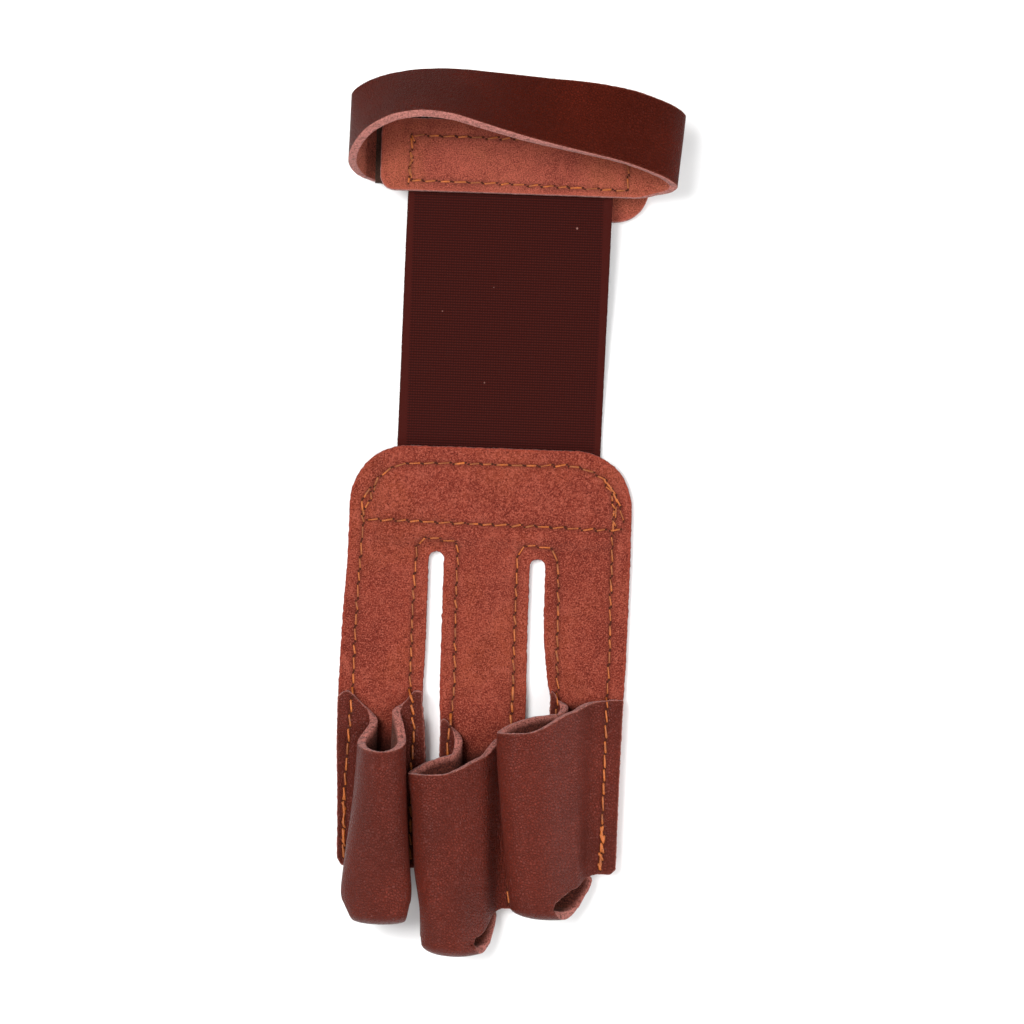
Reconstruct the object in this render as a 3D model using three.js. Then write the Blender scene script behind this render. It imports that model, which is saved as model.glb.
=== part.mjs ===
// Three-finger leather archery glove, lying on its back with the stalls up.
// Millimetres. +X to the right, +Y towards the wrist, +Z up out of the table.
// The origin is on the resting face of the hand panel, on the knuckle line.
import * as THREE from 'three';

// Materials' thicknesses
const PANEL_LEATHER = 1.8;
const STALL_LEATHER = 2;
const STRAP_LEATHER = 2;
const ELASTIC_THICKNESS = 1.2;
const HOOK_THICKNESS = 1;
const LOOP_THICKNESS = 1;
const SEAT_GAP = 0.3;

// Hand panel
const LEFT_STRIP_WIDTH = 20.3;
const MIDDLE_STRIP_WIDTH = 21.1;
const RIGHT_STRIP_WIDTH = 20.7;
const SLOT_WIDTH = 4.2;
const LEFT_SLOT_TOP = 0.7;
const RIGHT_SLOT_TOP = -0.4;
const PANEL_HEAD = 26.5;
const PANEL_CORNER_RADIUS = 14.4;
const LEFT_STRIP_LENGTH = 78.2;
const MIDDLE_STRIP_LENGTH = 87.5;
const RIGHT_STRIP_LENGTH = 78.2;
const STRIP_CORNER_RADIUS = 3;
const PANEL_RAMP = 4.5;
const SIDE_MARGIN = 2;
const PANEL_COLUMNS = 7;
const HEAD_ROWS = 6;
const STRIP_ROWS = 13;
const SLOT_END_SHARES = [0, 0.14, 0.5, 1];
const HEAD_CORNER_TURNS = [90, 75, 60, 45, 30, 15, 0];
const STRIP_CORNER_TAPER = 6;

// Elastic band
const ELASTIC_WIDTH = 50.4;
const ELASTIC_OFFSET = 2;
const ELASTIC_DRIFT = 0.7;
const ELASTIC_TUCK = 20.2;
const ELASTIC_FREE_LENGTH = 63.2;
const ELASTIC_FLAT_LENGTH = ELASTIC_FREE_LENGTH / 12;
const ELASTIC_UNDER_STRAP = 16.4;
const ELASTIC_RAMP_ROWS = 12;
const BAND_COLUMNS = 4;

// Wrist strap and its closure
const STRAP_WIDTH = 17.6;
const LOOP_WIDTH = 81.6;
const LOOP_OFFSET = 3.8;
const LOOP_HEIGHT = 24;
const FREE_END_SLANT = 7.5;
const HOOK_WIDTH = 15.6;
const HOOK_LENGTH = 0.637 * LOOP_WIDTH;
const HOOK_OFFSET = -1.5;
const LOOP_PATCH_WIDTH = 16.6;
const LOOP_PATCH_LENGTH = 0.757 * LOOP_WIDTH;
const LOOP_PATCH_OFFSET = 0;
const LOOP_PATCH_RISE = 1.4;

// Finger stalls
const LEFT_STALL_LENGTH = 43.7;
const MIDDLE_STALL_LENGTH = 46.3;
const RIGHT_STALL_LENGTH = 44.8;
const LEFT_STALL_HEIGHT = 14;
const MIDDLE_STALL_HEIGHT = 11;
const RIGHT_STALL_HEIGHT = 11;
const NECK_RADIUS = 1.7;
const FLARE_RADIUS = 4;
const WIDE_FLARE_RADIUS = 6;
const FLANGE_CELLS = [4, 3];
const BEND_CELLS = 4;
const FOLD_CELLS = [5, 4, 5, 4];
const STALL_ROWS = 11;
const TIP_STEPS = 6;
const TONGUE_STEPS = [0.5, 1];

// Each leather strip's edges: down is the share of the strip's length below the
// knuckle line, left and right are shares of its width from its centre line.
const LEFT_STRIP_EDGES = [
  { down: 0, left: -0.475, right: 0.5 },
  { down: 0.26, left: -0.52, right: 0.5 },
  { down: 0.45, left: -0.535, right: 0.485 },
  { down: 0.59, left: -0.53, right: 0.535 },
  { down: 0.78, left: -0.5, right: 0.56 },
  { down: 1, left: -0.475, right: 0.57 },
];
const MIDDLE_STRIP_EDGES = [
  { down: 0, left: -0.5, right: 0.5 },
  { down: 0.23, left: -0.5, right: 0.5 },
  { down: 0.4, left: -0.495, right: 0.51 },
  { down: 0.5, left: -0.475, right: 0.515 },
  { down: 1, left: -0.465, right: 0.44 },
];
const RIGHT_STRIP_EDGES = [
  { down: 0, left: -0.5, right: 0.505 },
  { down: 0.2, left: -0.495, right: 0.5 },
  { down: 0.385, left: -0.43, right: 0.488 },
  { down: 0.45, left: -0.385, right: 0.48 },
  { down: 0.74, left: -0.385, right: 0.462 },
  { down: 1, left: -0.395, right: 0.456 },
];

// Strips from left to right, with the centre line of each
const MIDDLE_STRIP = {
  centre: 0,
  width: MIDDLE_STRIP_WIDTH,
  length: MIDDLE_STRIP_LENGTH,
  edges: MIDDLE_STRIP_EDGES,
};
const LEFT_STRIP = {
  centre: -(MIDDLE_STRIP_WIDTH / 2 + SLOT_WIDTH + LEFT_STRIP_WIDTH / 2),
  width: LEFT_STRIP_WIDTH,
  length: LEFT_STRIP_LENGTH,
  edges: LEFT_STRIP_EDGES,
};
const RIGHT_STRIP = {
  centre: MIDDLE_STRIP_WIDTH / 2 + SLOT_WIDTH + RIGHT_STRIP_WIDTH / 2,
  width: RIGHT_STRIP_WIDTH,
  length: RIGHT_STRIP_LENGTH,
  edges: RIGHT_STRIP_EDGES,
};

// Each stall's sections, seen from the wrist: at is the share of the stall's
// length below its top edge, across is a share of the strip's width from the
// strip's centre line, up is a share of the stall's height, angles in degrees.
// The neck is where the leather leaves the strip, and turn is how far it bends.
const LEFT_SECTIONS = [
  { at: 0, neckL: -0.172, turnL: 112, sideL: -0.2, upL: 0.55, crest: 0.03, top: 1,
    sideR: 0.26, upR: 0.55, slopeR: 90, turnR: 112, neckR: 0.268 },
  { at: 0.28, neckL: -0.172, turnL: 114, sideL: -0.212, upL: 0.55, crest: 0.03, top: 1,
    sideR: 0.278, upR: 0.55, slopeR: 90, turnR: 114, neckR: 0.268 },
  { at: 0.46, neckL: -0.175, turnL: 114, sideL: -0.228, upL: 0.56, crest: 0.03, top: 1,
    sideR: 0.295, upR: 0.56, slopeR: 90, turnR: 114, neckR: 0.27 },
  { at: 0.72, neckL: -0.185, turnL: 114, sideL: -0.272, upL: 0.56, crest: 0.03, top: 0.96,
    sideR: 0.33, upR: 0.56, slopeR: 90, turnR: 114, neckR: 0.285 },
  { at: 1, neckL: -0.21, turnL: 114, sideL: -0.335, upL: 0.56, crest: 0.03, top: 0.9,
    sideR: 0.385, upR: 0.56, slopeR: 90, turnR: 114, neckR: 0.3 },
  { at: 1.12, neckL: -0.212, turnL: 114, sideL: -0.352, upL: 0.56, crest: 0.04, top: 0.86,
    sideR: 0.408, upR: 0.56, slopeR: 90, turnR: 114, neckR: 0.3 },
  { at: 1.3, neckL: -0.19, turnL: 108, sideL: -0.21, upL: 0.56, crest: 0.08, top: 0.8,
    sideR: 0.37, upR: 0.56, slopeR: 90, turnR: 108, neckR: 0.29 },
];
const MIDDLE_SECTIONS = [
  { at: 0, neckL: -0.345, turnL: 172, sideL: -0.7, upL: 0.58, crest: -0.48, top: 0.95,
    sideR: 0.03, upR: 0.53, slopeR: 36, turnR: 40, neckR: 0.36 },
  { at: 0.29, neckL: -0.33, turnL: 176, sideL: -0.787, upL: 0.58, crest: -0.53, top: 1,
    sideR: 0.03, upR: 0.56, slopeR: 37, turnR: 42, neckR: 0.36 },
  { at: 0.43, neckL: -0.315, turnL: 176, sideL: -0.739, upL: 0.58, crest: -0.5, top: 1,
    sideR: 0.03, upR: 0.56, slopeR: 38, turnR: 43, neckR: 0.36 },
  { at: 0.78, neckL: -0.3, turnL: 172, sideL: -0.678, upL: 0.58, crest: -0.43, top: 1,
    sideR: 0.04, upR: 0.56, slopeR: 39, turnR: 45, neckR: 0.355 },
  { at: 1.03, neckL: -0.3, turnL: 168, sideL: -0.59, upL: 0.6, crest: -0.34, top: 0.98,
    sideR: 0.05, upR: 0.56, slopeR: 40, turnR: 46, neckR: 0.35 },
  { at: 1.2, neckL: -0.3, turnL: 164, sideL: -0.575, upL: 0.62, crest: -0.32, top: 0.92,
    sideR: 0.05, upR: 0.56, slopeR: 40, turnR: 46, neckR: 0.34 },
];
const RIGHT_SECTIONS = [
  { at: 0, neckL: -0.31, turnL: 174, sideL: -0.93, upL: 0.58, crest: -0.7, top: 0.93,
    sideR: -0.11, upR: 0.5, slopeR: 33, turnR: 35, neckR: 0.275 },
  { at: 0.24, neckL: -0.295, turnL: 178, sideL: -0.973, upL: 0.58, crest: -0.72, top: 1,
    sideR: -0.11, upR: 0.53, slopeR: 34, turnR: 36, neckR: 0.275 },
  { at: 0.59, neckL: -0.265, turnL: 178, sideL: -0.911, upL: 0.58, crest: -0.66, top: 1,
    sideR: -0.09, upR: 0.54, slopeR: 35, turnR: 38, neckR: 0.275 },
  { at: 0.92, neckL: -0.25, turnL: 172, sideL: -0.824, upL: 0.59, crest: -0.56, top: 0.98,
    sideR: -0.06, upR: 0.54, slopeR: 36, turnR: 39, neckR: 0.275 },
  { at: 1.17, neckL: -0.25, turnL: 168, sideL: -0.746, upL: 0.6, crest: -0.5, top: 0.93,
    sideR: -0.03, upR: 0.54, slopeR: 37, turnR: 40, neckR: 0.27 },
];

// Where each stall's leather begins (mouth) and ends (tip) across its width, as
// shares of the stall's length below its top edge.
const LEFT_EDGES = [
  { across: 'edgeL', mouth: 0.045, tip: 0.957 },
  { across: 'flangeL', mouth: 0.012, tip: 1 },
  { across: 'neckL', mouth: 0.11, tip: 1 },
  { across: 'bendL', mouth: 0.19, tip: 1.03 },
  { across: 'sideL', mouth: 0.285, tip: 1.16 },
  { across: 'crest', mouth: 0.325, tip: 1.238 },
  { across: 'sideR', mouth: 0.27, tip: 1.165 },
  { across: 'bendR', mouth: 0.13, tip: 1.03 },
  { across: 'neckR', mouth: 0.07, tip: 1 },
  { across: 'flangeR', mouth: 0, tip: 1 },
  { across: 'edgeR', mouth: 0.003, tip: 0.985 },
];
const MIDDLE_EDGES = [
  { across: 'edgeL', mouth: 0.017, tip: 0.99 },
  { across: 'flangeL', mouth: 0, tip: 1 },
  { across: 'neckL', mouth: 0.045, tip: 1 },
  { across: 'bendL', mouth: 0.185, tip: 1.022 },
  { across: 'sideL', mouth: 0.283, tip: 1.136 },
  { across: 'crest', mouth: 0.281, tip: 1.184 },
  { across: 'sideR', mouth: 0.184, tip: 1.13 },
  { across: 'bendR', mouth: 0.09, tip: 1.017 },
  { across: 'neckR', mouth: 0.065, tip: 1 },
  { across: 'flangeR', mouth: 0.06, tip: 1 },
  { across: 'edgeR', mouth: 0.06, tip: 0.99 },
];
const RIGHT_EDGES = [
  { across: 'edgeL', mouth: 0.013, tip: 0.99 },
  { across: 'flangeL', mouth: 0, tip: 1 },
  { across: 'neckL', mouth: 0.047, tip: 1 },
  { across: 'bendL', mouth: 0.12, tip: 1.022 },
  { across: 'sideL', mouth: 0.228, tip: 1.15 },
  { across: 'crest', mouth: 0.221, tip: 1.183 },
  { across: 'sideR', mouth: 0.098, tip: 1.067 },
  { across: 'bendR', mouth: 0.052, tip: 1.018 },
  { across: 'neckR', mouth: 0.042, tip: 1 },
  { across: 'flangeR', mouth: 0.036, tip: 1 },
  { across: 'edgeR', mouth: 0.036, tip: 0.969 },
];

// The tongue that folds round the fingertip and comes back to the strip's end:
// at and up as above, centre and half width as shares of the strip's width.
const LEFT_TONGUE = [
  { at: 1.238, centre: 0.1, half: 0.24, up: 0.16 },
  { at: 1.015, centre: 0.045, half: 0.12, up: 0 },
  { at: 0.94, centre: 0.045, half: 0.11, up: 0 },
];
const MIDDLE_TONGUE = [
  { at: 1.184, centre: -0.055, half: 0.245, up: 0.2 },
  { at: 1.03, centre: 0.06, half: 0.185, up: 0.02 },
  { at: 1.005, centre: 0.02, half: 0.17, up: 0 },
  { at: 0.94, centre: 0.02, half: 0.165, up: 0 },
];
const RIGHT_TONGUE = [
  { at: 1.183, centre: -0.237, half: 0.265, up: 0.2 },
  { at: 1.03, centre: 0.02, half: 0.15, up: 0.02 },
  { at: 1.005, centre: -0.005, half: 0.1, up: 0 },
  { at: 0.94, centre: -0.005, half: 0.095, up: 0 },
];

const LEFT_STALL = {
  strip: LEFT_STRIP,
  length: LEFT_STALL_LENGTH,
  height: LEFT_STALL_HEIGHT,
  sections: LEFT_SECTIONS,
  edges: LEFT_EDGES,
  tongue: LEFT_TONGUE,
  tongueColumns: [14, 21],
  tipRound: 0.19,
  flare: NECK_RADIUS,
};
const MIDDLE_STALL = {
  strip: MIDDLE_STRIP,
  length: MIDDLE_STALL_LENGTH,
  height: MIDDLE_STALL_HEIGHT,
  sections: MIDDLE_SECTIONS,
  edges: MIDDLE_EDGES,
  tongue: MIDDLE_TONGUE,
  tongueColumns: [14, 21],
  tipRound: 0.21,
  flare: FLARE_RADIUS,
};
const RIGHT_STALL = {
  strip: RIGHT_STRIP,
  length: RIGHT_STALL_LENGTH,
  height: RIGHT_STALL_HEIGHT,
  sections: RIGHT_SECTIONS,
  edges: RIGHT_EDGES,
  tongue: RIGHT_TONGUE,
  tongueColumns: [13, 19],
  tipRound: 0.19,
  flare: WIDE_FLARE_RADIUS,
};

// Cells across a stall between its landmarks, from one strip edge to the other
const STALL_CELLS = [
  { to: 'flangeL', cells: 1 },
  { to: 'neckL', cells: 3 },
  { to: 'bendL', cells: 4 },
  { to: 'sideL', cells: 5 },
  { to: 'crest', cells: 4 },
  { to: 'sideR', cells: 5 },
  { to: 'bendR', cells: 4 },
  { to: 'neckR', cells: 4 },
  { to: 'flangeR', cells: 2 },
  { to: 'edgeR', cells: 1 },
];

// Wrist strap: across is a share of half the loop's width from the loop's middle,
// along is a share of the strap's width towards the wrist, up is a share of the
// loop's height, lean rolls the far rim down and turn swings it to the right.
const STRAP_START = [
  { across: -0.815, along: 0, up: 0, lean: 0, turn: 0 },
  { across: -0.4, along: 0, up: 0, lean: 0, turn: 0 },
  { across: 0, along: 0, up: 0, lean: 0, turn: 0 },
  { across: 0.4, along: 0, up: 0, lean: 0, turn: 0 },
  { across: 0.66, along: 0, up: 0, lean: 0, turn: 1 },
  { across: 0.77, along: 0.005, up: 0.004, lean: 1, turn: 2 },
  { across: 0.87, along: 0.05, up: 0.035, lean: 4, turn: 4 },
  { across: 0.95, along: 0.085, up: 0.11, lean: 7, turn: 5 },
];
const STRAP_ARCH = [
  { across: 0.972, along: 0.14, up: 0.45, lean: 4, turn: 5 },
  { across: 0.92, along: 0.215, up: 0.59, lean: 3, turn: 6 },
  { across: 0.828, along: 0.29, up: 0.69, lean: 2, turn: 6.6 },
  { across: 0.658, along: 0.395, up: 0.79, lean: 4, turn: 7 },
  { across: 0.488, along: 0.455, up: 0.86, lean: 9, turn: 7.2 },
  { across: 0.318, along: 0.5, up: 0.915, lean: 16, turn: 7.2 },
  { across: 0.148, along: 0.54, up: 0.96, lean: 24, turn: 7.1 },
  { across: -0.022, along: 0.595, up: 0.988, lean: 31, turn: 7 },
  { across: -0.194, along: 0.66, up: 0.99, lean: 38, turn: 6.8 },
  { across: -0.364, along: 0.725, up: 0.97, lean: 44, turn: 6.6 },
  { across: -0.538, along: 0.745, up: 0.935, lean: 47, turn: 6.4 },
  { across: -0.71, along: 0.7, up: 0.858, lean: 46, turn: 5.2 },
  { across: -0.865, along: 0.58, up: 0.725, lean: 40, turn: 2.1 },
  { across: -0.945, along: 0.45, up: 0.61, lean: 32, turn: 0 },
  { across: -0.98, along: 0.345, up: 0.49, lean: 24, turn: -1 },
  { across: -0.975, along: 0.275, up: 0.32, lean: 14, turn: 1 },
  { across: -0.925, along: 0.2, up: 0.15, lean: 7, turn: 4 },
];
const STRAP_FREE = [
  { across: -0.85, along: 0.155, up: 0.035, lean: 2, turn: 6 },
  { across: -0.765, along: 0.11, up: 0.003, lean: 0, turn: FREE_END_SLANT },
];
const STRAP_START_ROUND = 0.2;
const STRAP_FREE_ROUND = 0.46;
const FREE_END_ACROSS = 0.815;
const FREE_END_SHARES = [0.3, 0.65, 1];
const STRAP_CELLS = 3;
const STRAP_ACROSS_CELLS = 6;

// Reads a table of numbers at one value of its key column, with a smooth curve
function readTable(rows, key, value) {
  const last = rows.length - 1;
  let i = 0;
  while (i < last - 1 && value > rows[i + 1][key]) i += 1;
  const from = rows[i];
  const to = rows[i + 1];
  const before = rows[Math.max(i - 1, 0)];
  const after = rows[Math.min(i + 2, last)];
  const span = to[key] - from[key];
  const t = THREE.MathUtils.clamp((value - from[key]) / span, 0, 1);
  const out = {};
  for (const name of Object.keys(from)) {
    if (name === key || typeof from[name] !== 'number') continue;
    const slopeFrom = slope(before, from, to, key, name) * span;
    const slopeTo = slope(from, to, after, key, name) * span;
    const t2 = t * t;
    const t3 = t2 * t;
    out[name] = (2 * t3 - 3 * t2 + 1) * from[name] + (t3 - 2 * t2 + t) * slopeFrom
      + (3 * t2 - 2 * t3) * to[name] + (t3 - t2) * slopeTo;
  }
  return out;
}

// Slope of a table at its middle row, flat where the values turn back
function slope(a, b, c, key, name) {
  if (a === b || b === c) return (c[name] - a[name]) / (c[key] - a[key]);
  const left = (b[name] - a[name]) / (b[key] - a[key]);
  const right = (c[name] - b[name]) / (c[key] - b[key]);
  if (left * right <= 0) return 0;
  return 2 * left * right / (left + right);
}

// Joins points that fall together and renumbers the cells
function weld(points, cells) {
  const seen = new Map();
  const kept = [];
  const index = points.map((p) => {
    const name = p.toArray().map((n) => n.toFixed(4)).join(' ');
    if (!seen.has(name)) {
      seen.set(name, kept.length);
      kept.push(p);
    }
    return seen.get(name);
  });
  return { points: kept, cells: cells.map((cell) => cell.map((i) => index[i])) };
}

// One closed body from a sheet of four-sided cells, half its thickness each way
function thicken(sheet, thickness) {
  const { points, cells } = weld(sheet.points, sheet.cells);
  const normals = points.map(() => new THREE.Vector3());
  for (const [a, b, c, d] of cells) {
    const across = points[c].clone().sub(points[a]);
    const normal = across.cross(points[d].clone().sub(points[b]));
    for (const i of [a, b, c, d]) normals[i].add(normal);
  }
  const corners = [];
  for (const side of [1, -1]) {
    points.forEach((p, i) => {
      const offset = normals[i].clone().normalize().multiplyScalar(side * thickness / 2);
      corners.push(p.clone().add(offset));
    });
  }
  const under = points.length;
  const faces = [];
  const addCell = (a, b, c, d) => faces.push(a, b, c, a, c, d);
  const edges = new Map();
  for (const [a, b, c, d] of cells) {
    addCell(a, b, c, d);
    addCell(d + under, c + under, b + under, a + under);
    for (const [i, j] of [[a, b], [b, c], [c, d], [d, a]]) edges.set(`${i} ${j}`, [i, j]);
  }
  for (const [i, j] of edges.values()) {
    if (!edges.has(`${j} ${i}`)) addCell(j, i, i + under, j + under);
  }
  const geometry = new THREE.BufferGeometry();
  const flat = corners.flatMap((p) => p.toArray());
  geometry.setAttribute('position', new THREE.Float32BufferAttribute(flat, 3));
  geometry.setIndex(faces);
  return geometry;
}

// Cells of a grid of rows, each row running left to right and the rows downwards
function gridCells(rows, columns, start = 0) {
  const cells = [];
  for (let r = 0; r < rows - 1; r += 1) {
    for (let c = 0; c < columns - 1; c += 1) {
      const a = start + r * columns + c;
      cells.push([a, a + columns, a + columns + 1, a + 1]);
    }
  }
  return cells;
}

function spread(from, to, count) {
  return Array.from({ length: count + 1 }, (_, i) => from + (to - from) * i / count);
}

// Left and right edge of a strip at one height on the panel, without the slots
function stripEdges(strip, y) {
  const down = THREE.MathUtils.clamp(-y / strip.length, 0, 1);
  const row = readTable(strip.edges, 'down', down);
  return [strip.centre + row.left * strip.width, strip.centre + row.right * strip.width];
}

// How far the panel is lifted where it lies on the elastic band
function panelLift(x, y) {
  const elasticEnd = PANEL_HEAD - ELASTIC_TUCK;
  const start = elasticEnd - SIDE_MARGIN / 2;
  const alongY = THREE.MathUtils.smoothstep(y, start - PANEL_RAMP, start);
  const edge = ELASTIC_WIDTH / 2 + SIDE_MARGIN;
  const fromMiddle = Math.abs(x - ELASTIC_OFFSET);
  const alongX = 1 - THREE.MathUtils.smoothstep(fromMiddle, edge, edge + PANEL_RAMP);
  return (ELASTIC_THICKNESS + SEAT_GAP) * alongY * alongX;
}

// Edge of a slot, whose closed end is a half circle
function slotEdge(slotCentre, slotTop, side, openEdge, y) {
  const radius = SLOT_WIDTH / 2;
  const below = slotTop - y;
  if (below <= 0) return slotCentre;
  if (below < radius) {
    return slotCentre + side * Math.sqrt(radius * radius - (radius - below) ** 2);
  }
  return openEdge;
}

function handPanelSheet() {
  const leftSlot = -(MIDDLE_STRIP_WIDTH + SLOT_WIDTH) / 2;
  const rightSlot = -leftSlot;
  const headEdge = (x, y, side) => {
    const above = y - (PANEL_HEAD - PANEL_CORNER_RADIUS);
    if (above <= 0) return x;
    const rise = Math.min(above / PANEL_CORNER_RADIUS, 1);
    return x - side * PANEL_CORNER_RADIUS * (1 - Math.sqrt(1 - rise * rise));
  };
  const edgesAt = (strip, y) => {
    let [left, right] = stripEdges(strip, y);
    if (strip === LEFT_STRIP) left = headEdge(left, y, -1);
    else {
      const [top, centre] = strip === MIDDLE_STRIP
        ? [LEFT_SLOT_TOP, leftSlot] : [RIGHT_SLOT_TOP, rightSlot];
      left = slotEdge(centre, top, 1, left, y);
    }
    if (strip === RIGHT_STRIP) right = headEdge(right, y, 1);
    else {
      const [top, centre] = strip === LEFT_STRIP
        ? [LEFT_SLOT_TOP, leftSlot] : [RIGHT_SLOT_TOP, rightSlot];
      right = slotEdge(centre, top, -1, right, y);
    }
    return [left, right];
  };
  const slotRows = [LEFT_SLOT_TOP, RIGHT_SLOT_TOP].flatMap(
    (top) => SLOT_END_SHARES.map((share) => top - share * SLOT_WIDTH / 2),
  );
  const corner = PANEL_HEAD - PANEL_CORNER_RADIUS;
  const cornerRows = HEAD_CORNER_TURNS.map(
    (degrees) => corner + PANEL_CORNER_RADIUS * Math.sin(THREE.MathUtils.degToRad(degrees)),
  );
  const lowestSlotRow = Math.min(...slotRows);
  const seamRows = spread(corner, Math.max(...slotRows), HEAD_ROWS).slice(1, -1);
  const headRows = [...cornerRows, ...seamRows, ...slotRows].sort((a, b) => b - a);
  const points = [];
  const cells = [];
  for (const strip of [LEFT_STRIP, MIDDLE_STRIP, RIGHT_STRIP]) {
    const stripRows = spread(lowestSlotRow, -strip.length, STRIP_ROWS).slice(1);
    const rows = [...headRows, ...stripRows];
    const start = points.length;
    for (const y of rows) {
      const [left, right] = edgesAt(strip, y);
      for (const x of spread(left, right, PANEL_COLUMNS)) {
        const fromEdge = Math.min(x - left, right - x);
        const short = STRIP_CORNER_RADIUS * Math.max(0, 1 - fromEdge / STRIP_CORNER_RADIUS);
        const share = Math.max(0, (lowestSlotRow - y) / (lowestSlotRow + strip.length));
        const z = panelLift(x, y) + PANEL_LEATHER / 2;
        points.push(new THREE.Vector3(x, y + short * share ** STRIP_CORNER_TAPER, z));
      }
    }
    cells.push(...gridCells(rows.length, PANEL_COLUMNS + 1, start));
  }
  return { points, cells };
}

// Levels of the closure's layers above the table, from the free end upwards
const FREE_LEVEL = STRAP_LEATHER / 2;
const HOOK_LEVEL = STRAP_LEATHER + SEAT_GAP + HOOK_THICKNESS / 2;
const LOOP_LEVEL = HOOK_LEVEL + HOOK_THICKNESS / 2 + SEAT_GAP + LOOP_THICKNESS / 2;
const BAND_LEVEL = LOOP_LEVEL + LOOP_THICKNESS / 2 + SEAT_GAP + ELASTIC_THICKNESS / 2;
const START_LEVEL = BAND_LEVEL + ELASTIC_THICKNESS / 2 + SEAT_GAP + STRAP_LEATHER / 2;
const STRAP_MIDDLE = PANEL_HEAD + ELASTIC_FREE_LENGTH + STRAP_WIDTH / 2;

function elasticSheet() {
  const end = PANEL_HEAD - ELASTIC_TUCK;
  const strapEdge = PANEL_HEAD + ELASTIC_FREE_LENGTH;
  const rampEnd = strapEdge - ELASTIC_FLAT_LENGTH;
  const rows = [end, ...spread(PANEL_HEAD, rampEnd, ELASTIC_RAMP_ROWS), strapEdge + ELASTIC_UNDER_STRAP];
  const points = [];
  for (const y of rows.reverse()) {
    const rise = THREE.MathUtils.smoothstep(y, PANEL_HEAD, rampEnd);
    const z = THREE.MathUtils.lerp(ELASTIC_THICKNESS / 2, BAND_LEVEL, rise);
    for (const x of spread(-ELASTIC_WIDTH / 2, ELASTIC_WIDTH / 2, BAND_COLUMNS)) {
      const share = THREE.MathUtils.clamp((y - PANEL_HEAD) / ELASTIC_FREE_LENGTH, 0, 1);
      points.push(new THREE.Vector3(ELASTIC_OFFSET + x + ELASTIC_DRIFT * share, y, z));
    }
  }
  return { points, cells: gridCells(rows.length, BAND_COLUMNS + 1) };
}

// A flat rectangular patch, turned about the strap's middle
function patchSheet(width, length, level, slant, middle) {
  const points = [];
  const turn = THREE.MathUtils.degToRad(-slant);
  for (const y of [width / 2, 0, -width / 2]) {
    for (const x of spread(-length / 2, length / 2, BAND_COLUMNS)) {
      const p = new THREE.Vector3(x, y, level).applyAxisAngle(new THREE.Vector3(0, 0, 1), turn);
      points.push(p.add(middle));
    }
  }
  return { points, cells: gridCells(3, BAND_COLUMNS + 1) };
}

function strapStations() {
  const place = (row, level) => ({
    centre: new THREE.Vector3(
      LOOP_OFFSET + row.across * LOOP_WIDTH / 2,
      STRAP_MIDDLE + row.along * STRAP_WIDTH,
      level + row.up * LOOP_HEIGHT,
    ),
    lean: THREE.MathUtils.degToRad(row.lean),
    turn: THREE.MathUtils.degToRad(row.turn),
  });
  const stations = [
    ...STRAP_START.map((row) => place(row, START_LEVEL)),
    ...STRAP_ARCH.map((row) => place(row, FREE_LEVEL)),
    ...STRAP_FREE.map((row) => place(row, FREE_LEVEL)),
  ];
  const last = stations[stations.length - 1];
  const run = (FREE_END_ACROSS - STRAP_FREE[STRAP_FREE.length - 1].across) * LOOP_WIDTH / 2;
  for (const share of FREE_END_SHARES) {
    const centre = last.centre.clone();
    centre.x += run * share;
    centre.y -= run * share * Math.tan(last.turn);
    stations.push({ ...last, centre });
  }
  return stations;
}

function strapSheet() {
  const stations = strapStations();
  const curve = new THREE.CatmullRomCurve3(stations.map((s) => s.centre));
  const last = stations.length - 1;
  const across = spread(-Math.PI / 2, Math.PI / 2, STRAP_ACROSS_CELLS).map(Math.sin);
  const startLength = stations[1].centre.distanceTo(stations[0].centre);
  const endLength = stations[last].centre.distanceTo(stations[last - 1].centre);
  const pointAt = (u, v) => {
    const i = Math.min(Math.floor(u), last - 1);
    const t = u - i;
    const lean = THREE.MathUtils.lerp(stations[i].lean, stations[i + 1].lean, t);
    const turn = THREE.MathUtils.lerp(stations[i].turn, stations[i + 1].turn, t);
    const rim = new THREE.Vector3(
      Math.sin(turn) * Math.cos(lean),
      Math.cos(turn) * Math.cos(lean),
      -Math.sin(lean),
    );
    return curve.getPoint(u / last).addScaledVector(rim, v * STRAP_WIDTH / 2);
  };
  const rounding = (v, share, length) => {
    const flat = 1 - 2 * share;
    const past = Math.max(0, (Math.abs(v) - flat) / (1 - flat));
    return share * STRAP_WIDTH * (1 - Math.sqrt(1 - past * past)) / length;
  };
  const points = [];
  for (const v of across) {
    for (let k = 0; k <= last * STRAP_CELLS; k += 1) {
      let u = k / STRAP_CELLS;
      if (u < 1) u += (1 - u) * rounding(v, STRAP_START_ROUND, startLength);
      if (u > last - 1) u -= (u - last + 1) * rounding(v, STRAP_FREE_ROUND, endLength);
      points.push(pointAt(u, v));
    }
  }
  return { points, cells: gridCells(across.length, last * STRAP_CELLS + 1) };
}

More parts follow.
